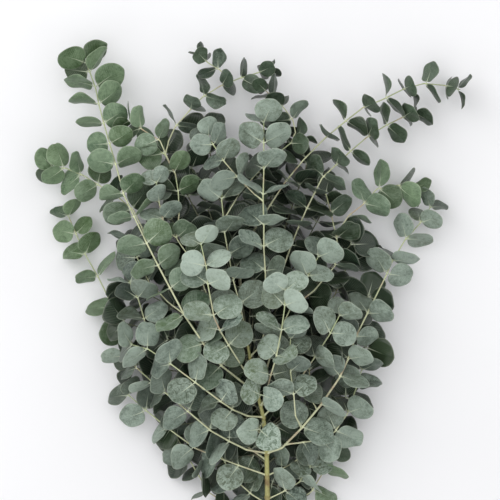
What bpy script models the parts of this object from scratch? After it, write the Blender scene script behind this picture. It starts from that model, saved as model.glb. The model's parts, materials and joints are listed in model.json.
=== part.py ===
"""A cut branch of silver dollar eucalyptus that lies on a flat surface.

One woody stem carries opposite side shoots, and every shoot carries opposite pairs of round
leaves. +X is to the right and +Y to the tips when the branch is seen from above, and +Z is up.
The origin is on the surface, under the middle of the branch.
"""

import math
import random
from collections import namedtuple

import bmesh
import bpy
from mathutils import Matrix, Vector
from mathutils.bvhtree import BVHTree

# All driving dimensions are in millimetres and degrees.
MM = 0.001
SEED = 7
UP = Vector((0, 0, 1))
UPRIGHT = 0.03
PARALLEL = 1e-9

# Stems: their tips, their seats on the stem that carries them, and their distance to the others
TIP_RADIUS = 1.1
MAIN_TIP_RADIUS = 1.6
THICK_STEM = 3.0
JOINT_GAP = 0.3
SEAT_STEP = 0.2
SEAT_STEPS = 150
STEM_GAP = 0.8
CLEAR_MARGIN = 0.1
LEAST_SHARE = 0.3
CAP_WELD = 0.01
SAME_NODE = 12.0
ROOT_AHEAD = 2.5
ROOT_BEHIND_TIP = 1.2
LOWEST_STEM = 3.0
FLAT_SIDE_UP = 45
CLEAR_ROUNDS = 80

# Joining, in metres and radians
SAME_POINT = 0.000002
FLAT_ANGLE = 0.01

# Leaf blades
BLADE_THICKNESS = 0.8
ROOT_HALF_WIDTH = 0.35
ROOT_SUNK = 0.3
BLADE_GAP = 0.35
FLOOR_GAP = 0.02
ARCH = 0.07
LONGEST_LEAF = 42.0

# Opening: how far a leaf stands off its stem, wider at the base of a shoot than at its tip
OPENING_AT_BASE = 10
CLOSING_TO_TIP = 24
LEAST_OPENING = 20
MOST_OPENING = 125

# Seeded differences between leaves
PAIR_TURN_SPREAD = 9
LEAF_TURN_SPREAD = 5
OPENING_SPREAD = 7
TWIST_SPREAD = 16
TO_LIGHT_RANGE = (0.12, 1.2)
WIDTH_RANGE = (0.94, 1.1)
LENGTH_RANGE = (0.96, 1.1)
ARCH_RANGE = (-0.5, 1.0)

# Looks
ROUGHNESS = 0.6
SHARP_ANGLE = 40

# Each row across a blade: its place along the midrib, as a share of the length, and its half
# width, as a share of the full width. The first row is the root, inside the stem, and the
# short stalk ends at the second.
FIRST_WIDE_ROW = 2
BLADE_ROWS = ((0.0, 0.0), (0.07, 0.0), (0.25, 0.46), (0.91, 0.34))

# How a leaf that meets another is turned clear: opening, turn round the stem, and twist.
TURNS = (
    (0, 0, 0), (0, 0, 14), (0, 0, -14), (8, 0, 0), (-8, 0, 0), (0, 12, 0), (0, -12, 0),
    (0, 0, 28), (0, 0, -28), (8, 0, 20), (8, 0, -20), (-8, 0, 20), (-8, 0, -20),
    (16, 0, 0), (-16, 0, 0), (0, 24, 0), (0, -24, 0), (12, 16, 14), (12, -16, -14),
    (-12, 16, 14), (-12, -16, -14), (0, 0, 45), (0, 0, -45), (24, 0, 0), (-24, 0, 0),
    (16, 20, 35), (16, -20, -35), (-16, 20, 35), (-16, -20, -35), (32, 0, 0), (0, 40, 0),
    (0, -40, 0), (24, 0, 40), (24, 0, -40), (24, 30, 0), (24, -30, 0),
)
SCALES = (1.0, 0.88, 0.76)

Stem = namedtuple("Stem", "name parent radius tone opening first_turn turn_step to_light longer route")
Leaf = namedtuple("Leaf", "stem root axis opening turn twist to_light width length arch")

# A route runs from the parent to the tip as (x, y, z, width of the leaf pair there), and a
# width of 0 is a bend or a node that has lost its leaves.
MAIN_STEM = Stem(
    "main_stem", "", 3.9, "bark", 0, 0, 0, 0, 0,
    [(22, -385, 3.9, 0), (22, -345, 22, 0), (22, -312, 38, 0), (21, -256, 54, 0),
     (17, -210, 64, 0), (10, -181, 70, 0), (5, -154, 74, 0), (0, -135, 78, 0), (-5, -104, 84, 0)],
)

SHOOTS = [
    Stem(
        "shoot_leader", "main_stem", 1.5, "wax", 66, -10, 64, 0.55, 1.0,
        [(-5, -102, 85, 0), (-12, -69, 88, 34), (-20, -40, 89, 33), (-26, -8, 89, 33),
         (-31, 19, 86, 33), (-35, 61, 80, 32), (-34, 95, 74, 26)],
    ),
    Stem(
        "shoot_left_long", "main_stem", 2.4, "fresh", 74, -6, 20, 0.75, 1.0,
        [(10, -181, 70, 0), (-14, -160, 82, 0), (-34, -144, 90, 34), (-56, -117, 96, 34),
         (-80, -81, 100, 34), (-97, -49, 100, 33), (-112, -21, 98, 33), (-126, 6, 95, 33),
         (-142, 39, 90, 32), (-156, 68, 84, 32), (-166, 104, 78, 31), (-174, 130, 70, 31),
         (-182, 156, 62, 34), (-189, 181, 55, 34), (-194, 203, 48, 34), (-201, 222, 44, 34),
         (-207, 237, 41, 34)],
    ),
    Stem(
        "shoot_right_outer", "main_stem", 2.6, "dull", 66, -14, 58, 0.62, 1.0,
        [(21, -256, 54, 0), (40, -247, 62, 0), (64, -222, 70, 35), (87, -194, 74, 34),
         (111, -159, 74, 33), (121, -138, 72, 31), (131, -110, 66, 29), (146, -81, 58, 31),
         (171, -32, 48, 34), (178, -16, 45, 34), (195, 12, 40, 33), (214, 33, 37, 27),
         (228, 54, 34, 24)],
    ),
    Stem(
        "shoot_left_bright", "main_stem", 2.0, "wax", 68, -12, 56, 0.66, 1.0,
        [(17, -210, 64, 0), (-3, -206, 76, 0), (-20, -198, 86, 31), (-34, -188, 94, 32),
         (-65, -164, 104, 34), (-95, -141, 109, 34), (-124, -122, 105, 33), (-146, -116, 100, 30)],
    ),
    Stem(
        "shoot_right_mid", "main_stem", 1.8, "wax", 66, -12, 60, 0.62, 1.0,
        [(17, -210, 64, 0), (34, -190, 72, 0), (58, -166, 74, 32), (79, -135, 79, 33),
         (98, -105, 87, 33), (111, -80, 89, 28)],
    ),
    Stem(
        "shoot_left_mid", "main_stem", 2.1, "wax", 66, -12, 58, 0.6, 1.0,
        [(21, -256, 54, 0), (-5, -249, 63, 0), (-24, -239, 70, 33), (-48, -225, 74, 34),
         (-75, -202, 76, 34), (-104, -179, 68, 33), (-121, -166, 60, 31), (-140, -150, 51, 30),
         (-160, -132, 44, 26)],
    ),
    Stem(
        "shoot_left_lower", "main_stem", 1.8, "dull", 66, -10, 50, 0.62, 1.0,
        [(21, -285, 46, 0), (-12, -271, 50, 33), (-39, -261, 50, 33), (-69, -249, 47, 32),
         (-101, -226, 44, 30), (-129, -204, 39, 30), (-154, -183, 34, 28)],
    ),
    Stem(
        "shoot_right_lower", "main_stem", 1.7, "dull", 66, -10, 50, 0.62, 1.0,
        [(21, -285, 46, 0), (38, -277, 44, 30), (57, -266, 43, 31), (74, -253, 40, 0), (93, -248, 36, 24)],
    ),
    Stem(
        "shoot_bright_centre", "main_stem", 1.8, "bright", 68, -20, 64, 0.75, 1.0,
        [(14, -197, 66, 0), (18, -184, 84, 0), (25, -156, 100, 32), (32, -131, 112, 32),
         (38, -100, 120, 33), (42, -70, 126, 32), (43, -48, 129, 29)],
    ),
    Stem(
        "shoot_right_centre", "main_stem", 1.9, "wax", 66, -12, 62, 0.62, 1.0,
        [(10, -181, 70, 0), (20, -150, 78, 0), (31, -112, 86, 33), (49, -74, 95, 33),
         (70, -34, 100, 33), (84, -8, 100, 32)],
    ),
    Stem(
        "shoot_left_centre", "main_stem", 1.9, "bright", 70, -18, 62, 0.68, 1.0,
        [(6, -163, 73, 0), (-6, -150, 86, 0), (-25, -119, 100, 33), (-36, -100, 106, 34),
         (-44, -82, 112, 34), (-51, -44, 118, 36), (-53, -22, 119, 32), (-60, 8, 118, 27)],
    ),
    Stem(
        "shoot_top_centre", "main_stem", 2.0, "wax", 68, -12, 66, 0.58, 1.0,
        [(0, -135, 78, 0), (14, -118, 74, 0), (20, -92, 74, 0), (20, -60, 80, 34),
         (19, -28, 90, 34), (17, 2, 97, 34), (17, 29, 102, 34), (16, 66, 105, 34),
         (17, 97, 102, 33), (17, 129, 95, 32), (17, 158, 88, 30)],
    ),
    Stem(
        "shoot_right_long", "main_stem", 2.2, "dark", 76, 4, 84, 0.18, 1.0,
        [(-3, -118, 81, 0), (-8, -84, 64, 0), (-12, -38, 55, 0), (-7, 0, 56, 0),
         (6, 26, 58, 0), (24, 54, 60, 33), (44, 85, 61, 33), (68, 114, 61, 32),
         (94, 140, 60, 31), (118, 160, 58, 30), (141, 178, 55, 28), (169, 190, 50, 28),
         (192, 202, 45, 27), (219, 210, 40, 27), (245, 208, 36, 26), (264, 203, 34, 22)],
    ),
    Stem(
        "shoot_floor_left", "main_stem", 2.2, "fresh", 66, -12, 44, 0.6, 1.0,
        [(21, -266, 52, 0), (-6, -246, 40, 0), (-31, -225, 30, 0), (-60, -206, 26, 0),
         (-88, -188, 24, 34), (-114, -164, 22, 0), (-138, -138, 22, 34), (-156, -108, 22, 34),
         (-173, -75, 22, 33), (-192, -36, 22, 31), (-208, -8, 22, 30), (-220, 18, 22, 28),
         (-231, 44, 22, 25)],
    ),
    Stem(
        "shoot_left_arch", "shoot_left_long", 1.6, "fresh", 66, -12, 58, 0.55, 1.0,
        [(-34, -144, 90, 0), (-40, -112, 82, 0), (-46, -75, 80, 0), (-60, -38, 82, 0),
         (-75, -9, 82, 31), (-91, 14, 82, 31), (-88, 44, 79, 0), (-89, 71, 74, 30),
         (-93, 95, 69, 30), (-106, 119, 62, 32), (-122, 131, 56, 30)],
    ),
    Stem(
        "shoot_left_side", "shoot_left_long", 1.5, "fresh", 62, -12, 40, 0.62, 1.0,
        [(-126, 6, 95, 0), (-134, 28, 76, 0), (-146, 50, 62, 32), (-165, 66, 57, 30),
         (-189, 81, 52, 31), (-210, 94, 47, 31), (-232, 103, 43, 31), (-249, 104, 40, 27)],
    ),
    Stem(
        "shoot_top_side", "shoot_top_centre", 1.4, "wax", 64, -12, 60, 0.6, 1.0,
        [(16, 58, 104, 0), (2, 72, 104, 0), (-14, 88, 100, 30), (-31, 108, 94, 30),
         (-44, 128, 88, 28), (-52, 141, 84, 26)],
    ),
    Stem(
        "shoot_right_upper", "shoot_top_centre", 1.9, "dark", 76, 14, 84, 0.22, 1.0,
        [(20, -50, 82, 0), (40, -26, 68, 0), (51, 4, 62, 33), (60, 27, 64, 33),
         (70, 50, 67, 32), (80, 70, 66, 31), (90, 90, 64, 31), (106, 105, 61, 30),
         (124, 122, 58, 30), (146, 141, 54, 28), (170, 156, 50, 27), (190, 166, 46, 26),
         (207, 173, 42, 25)],
    ),
    Stem(
        "shoot_right_fan", "shoot_right_centre", 1.6, "dark", 64, -8, 62, 0.5, 1.0,
        [(49, -74, 95, 0), (80, -50, 72, 0), (106, -20, 60, 30), (109, 12, 57, 31),
         (102, 44, 54, 30), (96, 68, 52, 28), (88, 86, 50, 22)],
    ),
    Stem(
        "shoot_right_side", "shoot_right_fan", 1.4, "fresh", 62, -16, 52, 0.66, 1.0,
        [(109, 10, 57, 0), (114, 28, 48, 0), (124, 43, 45, 30), (142, 57, 43, 32),
         (160, 77, 40, 32), (186, 82, 36, 31), (207, 76, 32, 24)],
    ),
    Stem(
        "shoot_high_side", "shoot_leader", 1.4, "dark", 66, -8, 66, 0.5, 1.0,
        [(-31, 19, 86, 0), (-30, 42, 76, 0), (-12, 72, 68, 29), (8, 95, 66, 29),
         (29, 116, 66, 28), (49, 132, 64, 27), (62, 141, 61, 24)],
    ),
    Stem(
        "shoot_top_left", "shoot_left_arch", 1.4, "dark", 58, 18, 80, 0.5, 1.25,
        [(-105, 117, 62, 0), (-102, 136, 58, 0), (-94, 154, 54, 24), (-76, 175, 50, 24),
         (-60, 192, 48, 23), (-38, 206, 45, 23), (-14, 216, 42, 22), (8, 223, 39, 20),
         (24, 228, 36, 14)],
    ),
    Stem(
        "shoot_top_tip", "shoot_top_left", 1.0, "dark", 54, 10, 80, 0.5, 1.15,
        [(-22, 213, 43, 0), (-38, 227, 42, 21), (-53, 236, 40, 20), (-61, 245, 38, 15)],
    ),
    Stem(
        "shoot_top_right", "shoot_high_side", 1.1, "dark", 56, 20, 80, 0.45, 1.25,
        [(49, 132, 64, 0), (57, 147, 58, 0), (54, 162, 54, 22), (43, 178, 50, 22),
         (31, 191, 47, 21), (20, 200, 44, 16)],
    ),
    Stem(
        "shoot_left_top", "shoot_left_arch", 1.2, "fresh", 60, 0, 44, 0.6, 1.0,
        [(-98, 104, 67, 0), (-112, 136, 70, 27), (-134, 150, 66, 28), (-150, 163, 60, 24)],
    ),
    Stem(
        "shoot_left_pink", "shoot_left_arch", 1.2, "dull", 58, 18, 76, 0.6, 1.05,
        [(-91, 14, 82, 0), (-101, 22, 88, 0), (-107, 36, 91, 26), (-112, 58, 89, 25),
         (-116, 84, 84, 20)],
    ),
    Stem(
        "shoot_right_curve", "shoot_right_outer", 1.8, "dull", 66, -14, 56, 0.6, 1.0,
        [(40, -247, 68, 0), (64, -240, 64, 31), (86, -238, 60, 31), (106, -228, 55, 32),
         (122, -206, 50, 32), (133, -175, 46, 30), (141, -150, 43, 26)],
    ),
    Stem(
        "shoot_right_inner", "shoot_right_outer", 1.4, "wax", 64, -14, 60, 0.66, 1.0,
        [(62, -226, 83, 0), (56, -204, 94, 0), (54, -180, 98, 31), (50, -152, 100, 30),
         (49, -128, 99, 28), (50, -108, 97, 22)],
    ),
    Stem(
        "shoot_right_short", "shoot_right_outer", 1.2, "dark", 64, -12, 54, 0.6, 1.0,
        [(84, -203, 88, 0), (78, -188, 70, 0), (75, -170, 64, 30), (74, -148, 62, 26)],
    ),
    Stem(
        "shoot_butt_left", "main_stem", 1.4, "dull", 64, -12, 52, 0.6, 1.0,
        [(22, -352, 20, 0), (-14, -332, 22, 0), (-52, -308, 24, 24), (-64, -288, 25, 26),
         (-78, -264, 25, 26), (-94, -236, 22, 22)],
    ),
    Stem(
        "shoot_butt_bluish", "main_stem", 1.5, "wax", 66, -14, 54, 0.66, 1.0,
        [(22, -325, 33, 0), (2, -308, 39, 31), (-16, -292, 42, 34), (-30, -270, 44, 32),
         (-44, -246, 42, 28)],
    ),
    Stem(
        "shoot_butt_right", "main_stem", 1.7, "fresh", 66, -14, 54, 0.62, 1.0,
        [(22, -345, 24, 0), (52, -324, 26, 0), (78, -306, 28, 33), (92, -283, 28, 33),
         (100, -262, 26, 30), (106, -240, 22, 22)],
    ),
    Stem(
        "shoot_butt_short", "main_stem", 1.4, "wax", 66, -14, 54, 0.64, 1.0,
        [(22, -318, 36, 0), (42, -304, 43, 31), (62, -292, 46, 31), (76, -272, 46, 28)],
    ),
    Stem(
        "shoot_left_inner", "shoot_floor_left", 1.4, "wax", 66, -14, 54, 0.66, 1.0,
        [(-138, -138, 22, 0), (-133, -112, 40, 0), (-132, -88, 56, 31), (-139, -62, 66, 31),
         (-150, -40, 70, 28)],
    ),
    Stem(
        "shoot_left_drop", "shoot_left_long", 1.4, "wax", 66, -14, 54, 0.64, 1.0,
        [(-80, -81, 100, 0), (-102, -64, 80, 0), (-126, -40, 64, 30), (-140, -12, 60, 30),
         (-148, 12, 58, 26)],
    ),
    Stem(
        "shoot_low_heart", "main_stem", 1.2, "bright", 66, 10, 60, 0.9, 1.0,
        [(16, -214, 64, 0), (13, -218, 76, 0), (12, -222, 88, 32)],
    ),
    Stem(
        "shoot_high_heart", "main_stem", 1.2, "bright", 66, -10, 60, 0.9, 1.0,
        [(11, -185, 69, 0), (12, -181, 84, 0), (14, -178, 97, 33)],
    ),
    Stem(
        "shoot_under_left", "main_stem", 2.0, "dark", 66, -16, 44, 0.9, 1.0,
        [(4, -150, 75, 0), (-18, -118, 48, 0), (-44, -84, 34, 0), (-64, -50, 30, 36),
         (-82, -14, 28, 36), (-96, 26, 28, 35)],
    ),
    Stem(
        "shoot_under_base", "main_stem", 1.8, "dark", 66, -16, 44, 0.9, 1.0,
        [(19, -236, 58, 0), (-2, -218, 42, 0), (-26, -196, 32, 0), (-50, -166, 28, 36),
         (-72, -136, 27, 35)],
    ),
    Stem(
        "shoot_under_right", "main_stem", 2.0, "dark", 66, -16, 44, 0.9, 1.0,
        [(14, -196, 66, 0), (40, -168, 44, 0), (62, -134, 34, 0), (86, -94, 29, 36),
         (108, -56, 27, 36), (126, -14, 26, 34)],
    ),
]

# The colour of each tone, in linear light
TONES = {
    "bark": (0.33, 0.30, 0.15),
    "bright": (0.33, 0.42, 0.33),
    "wax": (0.22, 0.30, 0.23),
    "dull": (0.15, 0.21, 0.15),
    "fresh": (0.12, 0.20, 0.10),
    "dark": (0.05, 0.085, 0.045),
}


def smooth_radii(stem):
    """A stem's radius at each point of its route, thinner towards the tip."""
    points = [Vector(point[:3]) for point in stem.route]
    lengths = [0.0]
    for near, far in zip(points, points[1:]):
        lengths.append(lengths[-1] + (far - near).length)
    tip = TIP_RADIUS if stem.parent else MAIN_TIP_RADIUS
    return [stem.radius + (tip - stem.radius) * run / lengths[-1] for run in lengths]


def closest_on_axis(points, target):
    """The place on a run of points that is nearest to the target."""
    best = points[0]
    for near, far in zip(points, points[1:]):
        run = far - near
        share = max(0.0, min(1.0, (target - near).dot(run) / run.length_squared))
        place = near + run * share
        if (place - target).length < (best - target).length:
            best = place
    return best


def closest_between(a, b, c, d):
    """The nearest places on the segments a to b and c to d, as shares of each."""
    u = b - a
    v = d - c
    w = a - c
    uu, uv, vv = u.dot(u), u.dot(v), v.dot(v)
    uw, vw = u.dot(w), v.dot(w)
    spread = uu * vv - uv * uv
    s = 0.0
    if spread > PARALLEL:
        s = max(0.0, min(1.0, (uv * vw - vv * uw) / spread))
    t = (uv * s + vw) / vv
    if t < 0.0 or t > 1.0:
        t = max(0.0, min(1.0, t))
        s = max(0.0, min(1.0, (uv * t - uw) / uu))
    return s, t


def raise_clear(points, radii, placed, parent):
    """Raise or lower a stem's points until the stem clears every stem that is already placed."""
    for _ in range(CLEAR_ROUNDS):
        moved = False
        for k in range(len(points) - 1):
            for name, other_points, other_radii in placed:
                beside = (points[0] - other_points[0]).length < SAME_NODE
                for m in range(len(other_points) - 1):
                    if k == 0 and (name == parent or (beside and m == 0)):
                        continue
                    near, far = points[k], points[k + 1]
                    low, high = other_points[m], other_points[m + 1]
                    s, t = closest_between(near, far, low, high)
                    here = near.lerp(far, s)
                    there = low.lerp(high, t)
                    own = radii[k] + (radii[k + 1] - radii[k]) * s
                    their = other_radii[m] + (other_radii[m + 1] - other_radii[m]) * t
                    need = own + their + STEM_GAP
                    if (here - there).length >= need:
                        continue
                    flat = math.hypot(here.x - there.x, here.y - there.y)
                    rise = math.sqrt(max(0.0, need * need - flat * flat)) + CLEAR_MARGIN
                    above = here.z >= there.z or there.z - rise < LOWEST_STEM
                    change = there.z + (rise if above else -rise) - here.z
                    if k == 0:
                        points[1].z += change / max(s, LEAST_SHARE)
                    else:
                        spread = (1 - s) ** 2 + s ** 2
                        points[k].z += change * (1 - s) / spread
                        points[k + 1].z += change * s / spread
                    moved = True
        if not moved:
            return points
    return points


def stem_mesh(points, radii, grow=0.0):
    """A stem as a closed mesh of a tapering tube through its points, in millimetres.

    The main stem has eight sides, and a thin one has four.
    """
    curve = bpy.data.curves.new("stem_route", "CURVE")
    curve.dimensions = "3D"
    curve.bevel_depth = 1.0
    curve.bevel_resolution = 2 if radii[0] > THICK_STEM else 0
    curve.use_fill_caps = True
    curve.twist_mode = "Z_UP"
    spline = curve.splines.new("POLY")
    spline.points.add(len(points) - 1)
    for control, place, radius in zip(spline.points, points, radii):
        control.co = (*place, 1.0)
        control.radius = radius + grow
        control.tilt = math.radians(FLAT_SIDE_UP)
    route = bpy.data.objects.new("stem_route", curve)
    bpy.context.scene.collection.objects.link(route)
    depsgraph = bpy.context.evaluated_depsgraph_get()
    mesh = bpy.data.meshes.new_from_object(route.evaluated_get(depsgraph))
    bpy.data.objects.remove(route)
    bpy.data.curves.remove(curve)
    shape = bmesh.new()
    shape.from_mesh(mesh)
    bpy.data.meshes.remove(mesh)
    bmesh.ops.remove_doubles(shape, verts=shape.verts[:], dist=CAP_WELD)
    bmesh.ops.triangulate(shape, faces=shape.faces[:])
    return shape


def tree_of(shape):
    """A search tree for a closed shape, which is freed."""
    tree = BVHTree.FromBMesh(shape)
    shape.free()
    return tree


def seat_on_parent(points, radii, parent_tree):
    """Move a stem's base out along its first run until it only just clears its parent's bark."""
    start = points[0].copy()
    towards = (points[1] - start).normalized()
    for step in range(1, SEAT_STEPS):
        points[0] = start + towards * SEAT_STEP * step
        if not tree_of(stem_mesh(points[:2], radii[:2])).overlap(parent_tree):
            return


def place_stems(shoots):
    """Every stem's points and radii by name, with the shoots seated and clear of each other."""
    placed = {}
    for stem in [MAIN_STEM] + shoots:
        points = [Vector(point[:3]) for point in stem.route]
        radii = smooth_radii(stem)
        if stem.parent:
            parent_points, parent_radii = placed[stem.parent]
            points[0] = closest_on_axis(parent_points, points[0])
            others = [(name, *shape) for name, shape in placed.items()]
            raise_clear(points, radii, others, stem.parent)
            parent_tree = tree_of(stem_mesh(parent_points, parent_radii, JOINT_GAP))
            seat_on_parent(points, radii, parent_tree)
        placed[stem.name] = (points, radii)
    return placed


def leaf_frame(leaf):
    """A leaf's place and directions: X across the blade, Y along the midrib, Z its upper face."""
    side = leaf.axis.cross(UP)
    if side.length < UPRIGHT:
        side = Vector((1, 0, 0))
    side.normalize()
    over = side.cross(leaf.axis).normalized()
    turn = math.radians(leaf.turn)
    outwards = side * math.cos(turn) + over * math.sin(turn)
    opening = math.radians(leaf.opening)
    midrib = leaf.axis * math.cos(opening) + outwards * math.sin(opening)
    face = leaf.axis * math.sin(opening) - outwards * math.cos(opening)
    to_sky = UP - midrib * UP.dot(midrib)
    twist = math.radians(leaf.twist)
    if to_sky.length > UPRIGHT:
        to_sky.normalize()
        if to_sky.dot(face) < 0:
            to_sky.negate()
        angle = math.atan2(face.cross(to_sky).dot(midrib), face.dot(to_sky))
        twist += angle * leaf.to_light
    face = Matrix.Rotation(twist, 3, midrib) @ face
    across = midrib.cross(face)
    frame = Matrix((across, midrib, face)).transposed().to_4x4()
    frame.translation = leaf.root - midrib * ROOT_SUNK
    return frame


def blade(leaf, grow=0.0, first_row=0):
    """A leaf's blade as a closed sheet, larger by grow all round, from a row to the tip."""
    rows = BLADE_ROWS[first_row:]
    shape = bmesh.new()
    bmesh.ops.create_grid(shape, x_segments=1, y_segments=len(rows) - 1, size=0.5)
    for corner in shape.verts:
        along, half = rows[round((corner.co.y + 0.5) * (len(rows) - 1))]
        half_width = max(ROOT_HALF_WIDTH, half * leaf.width) + grow
        corner.co.z = leaf.arch * leaf.length * math.sin(math.pi * along)
        corner.co.x = math.copysign(half_width, corner.co.x)
        corner.co.y = along * leaf.length + (grow if along == BLADE_ROWS[-1][0] else 0.0)
    bmesh.ops.triangulate(shape, faces=shape.faces[:])
    thickness = BLADE_THICKNESS + 2 * grow
    bmesh.ops.solidify(shape, geom=shape.faces[:], thickness=thickness)
    bmesh.ops.translate(shape, verts=shape.verts[:], vec=(0, 0, thickness / 2))
    bmesh.ops.recalc_face_normals(shape, faces=shape.faces[:])
    shape.transform(leaf_frame(leaf))
    return shape


def around(draw, spread):
    """A seeded value between minus and plus the spread."""
    return draw.uniform(-spread, spread)


def wanted_leaves(placed, shoots):
    """Every leaf pair that the routes ask for, with small seeded differences between leaves."""
    leaves = []
    for stem in shoots:
        draw = random.Random(f"{SEED} {stem.name}")
        points = placed[stem.name][0]
        pair = 0
        for k in range(1, len(points)):
            width = stem.route[k][3]
            if not width:
                continue
            ahead = points[min(k + 1, len(points) - 1)]
            behind = points[k - 1]
            axis = (ahead - behind).normalized()
            to_tip = k / (len(points) - 1)
            opening = stem.opening + OPENING_AT_BASE - CLOSING_TO_TIP * to_tip ** 2
            turn = stem.first_turn + (stem.turn_step if pair % 2 else 0)
            turn += around(draw, PAIR_TURN_SPREAD)
            if ahead == points[k]:
                root = points[k] - axis * ROOT_BEHIND_TIP
            else:
                root = points[k] + (ahead - points[k]).normalized() * ROOT_AHEAD
            for half_turn in (0, 180):
                leaf_width = width * draw.uniform(*WIDTH_RANGE)
                leaves.append(Leaf(
                    stem=stem.name,
                    root=root,
                    axis=axis,
                    opening=opening + around(draw, OPENING_SPREAD),
                    turn=turn + half_turn + around(draw, LEAF_TURN_SPREAD),
                    twist=around(draw, TWIST_SPREAD),
                    to_light=min(1.0, stem.to_light * draw.uniform(*TO_LIGHT_RANGE)),
                    width=leaf_width,
                    length=leaf_width * stem.longer * draw.uniform(*LENGTH_RANGE),
                    arch=ARCH * draw.uniform(*ARCH_RANGE),
                ))
            pair += 1
    return leaves


def turned(leaf, change, scale):
    """The leaf with its opening, turn and twist changed, and scaled."""
    return leaf._replace(
        opening=max(LEAST_OPENING, min(MOST_OPENING, leaf.opening + change[0])),
        turn=leaf.turn + change[1],
        twist=leaf.twist + change[2],
        width=leaf.width * scale,
        length=leaf.length * scale,
    )


def is_clear(leaf, stem_trees, kept):
    """Whether a leaf clears the surface, every other stem and every leaf already kept."""
    grown = blade(leaf, BLADE_GAP)
    if min(corner.co.z for corner in grown.verts) < BLADE_GAP + FLOOR_GAP:
        grown.free()
        return False
    grown = tree_of(grown)
    beyond_root = tree_of(blade(leaf, BLADE_GAP, FIRST_WIDE_ROW))
    for name, tree in stem_trees:
        if (beyond_root if name == leaf.stem else grown).overlap(tree):
            return False
    for other, whole, outer in kept:
        if other.stem != leaf.stem:
            if grown.overlap(whole):
                return False
        elif beyond_root.overlap(outer):
            return False
    return True


def place_leaves(placed, shoots):
    """The leaves that find room, each turned clear of the others, from the highest down."""
    stem_trees = []
    for name, (points, radii) in placed.items():
        stem_trees.append((name, tree_of(stem_mesh(points, radii))))
    kept = []
    for leaf in sorted(wanted_leaves(placed, shoots), key=lambda one: -one.root.z):
        reach = leaf.length + LONGEST_LEAF
        near = [entry for entry in kept if (entry[0].root - leaf.root).length < reach]
        for scale in SCALES:
            for change in TURNS:
                tried = turned(leaf, change, scale)
                if is_clear(tried, stem_trees, near):
                    break
            else:
                continue
            kept.append((tried, tree_of(blade(tried)), tree_of(blade(tried, 0.0, FIRST_WIDE_ROW))))
            break
    return [entry[0] for entry in kept]


def principled(name, colour):
    """A plain material of one colour."""
    material = bpy.data.materials.new(name)
    material.use_nodes = True
    shader = material.node_tree.nodes["Principled BSDF"]
    shader.inputs["Base Color"].default_value = (*colour, 1.0)
    shader.inputs["Roughness"].default_value = ROUGHNESS
    shader.inputs["Metallic"].default_value = 0.0
    return material


def to_object(shape, name, collection):
    """An object of a shape in millimetres, which is freed, at its real size in metres."""
    shape.transform(Matrix.Scale(MM, 4))
    mesh = bpy.data.meshes.new(name)
    shape.to_mesh(mesh)
    shape.free()
    made = bpy.data.objects.new(name, mesh)
    collection.objects.link(made)
    return made


def join_flat_faces(mesh):
    """Join the faces that lie in one plane and triangulate them afresh, if that stays closed."""
    for same_point in (SAME_POINT, 0.0):
        shape = bmesh.new()
        shape.from_mesh(mesh)
        bmesh.ops.remove_doubles(shape, verts=shape.verts[:], dist=same_point)
        bmesh.ops.dissolve_limit(
            shape, angle_limit=FLAT_ANGLE, verts=shape.verts[:], edges=shape.edges[:],
        )
        bmesh.ops.triangulate(shape, faces=shape.faces[:], ngon_method="EAR_CLIP")
        closed = all(len(edge.link_faces) == 2 for edge in shape.edges)
        if closed:
            shape.to_mesh(mesh)
        shape.free()
        if closed:
            return


def build_stem(stem, placed, leaves, parts, cutters):
    """One stem with its leaves joined on, as a single closed solid."""
    points, radii = placed[stem.name]
    made = to_object(stem_mesh(points, radii), stem.name, parts)
    for number, leaf in enumerate(leaves):
        joined = to_object(blade(leaf), f"blade_{number}", cutters)
        joined.hide_render = True
        joined.display_type = "WIRE"
    if leaves:
        union = made.modifiers.new("join_blades", "BOOLEAN")
        union.operation = "UNION"
        union.operand_type = "COLLECTION"
        union.collection = cutters
        union.solver = "MANIFOLD"
        depsgraph = bpy.context.evaluated_depsgraph_get()
        mesh = bpy.data.meshes.new_from_object(made.evaluated_get(depsgraph))
        made.modifiers.clear()
        made.data = mesh
        join_flat_faces(mesh)
        for joined in list(cutters.objects):
            bpy.data.objects.remove(joined)
    made.data.materials.clear()
    made.data.materials.append(principled(stem.name, TONES[stem.tone]))
    return made


def centre_on_surface(objects):
    """Move all the meshes so that the origin is under the middle of the branch."""
    corners = [vertex.co for made in objects for vertex in made.data.vertices]
    low = Vector(min(corner[axis] for corner in corners) for axis in range(3))
    high = Vector(max(corner[axis] for corner in corners) for axis in range(3))
    shift = Vector((-(low.x + high.x) / 2, -(low.y + high.y) / 2, -low.z))
    for made in objects:
        made.data.transform(Matrix.Translation(shift))


def main():
    """Build the branch in an empty scene."""
    for thing in list(bpy.data.objects):
        bpy.data.objects.remove(thing)
    parts = bpy.data.collections.new("eucalyptus_branch")
    cutters = bpy.data.collections.new("blades_to_join")
    bpy.context.scene.collection.children.link(parts)
    bpy.context.scene.collection.children.link(cutters)
    placed = place_stems(SHOOTS)
    leaves = place_leaves(placed, SHOOTS)
    made = []
    for stem in [MAIN_STEM] + SHOOTS:
        own = [leaf for leaf in leaves if leaf.stem == stem.name]
        made.append(build_stem(stem, placed, own, parts, cutters))
    centre_on_surface(made)
    for thing in made:
        thing.data.shade_smooth()
        thing.data.set_sharp_from_angle(angle=math.radians(SHARP_ANGLE))


main()
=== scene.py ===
"""The looks of a cut branch of silver dollar eucalyptus, grown over its solid model.

The branch is grown again by the same rules as the solids, and each shoot then gets fine leaves
and a round twig, and the main stem its bark. Lengths inside the growing rules are in millimetres,
and everything that is shown is in metres, in the frame of the solid model.
"""

import json
import math
import random
from collections import namedtuple
from functools import lru_cache, partial

import bmesh
import bpy
import numpy as np
from mathutils import Matrix, Vector
from mathutils.bvhtree import BVHTree

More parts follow.
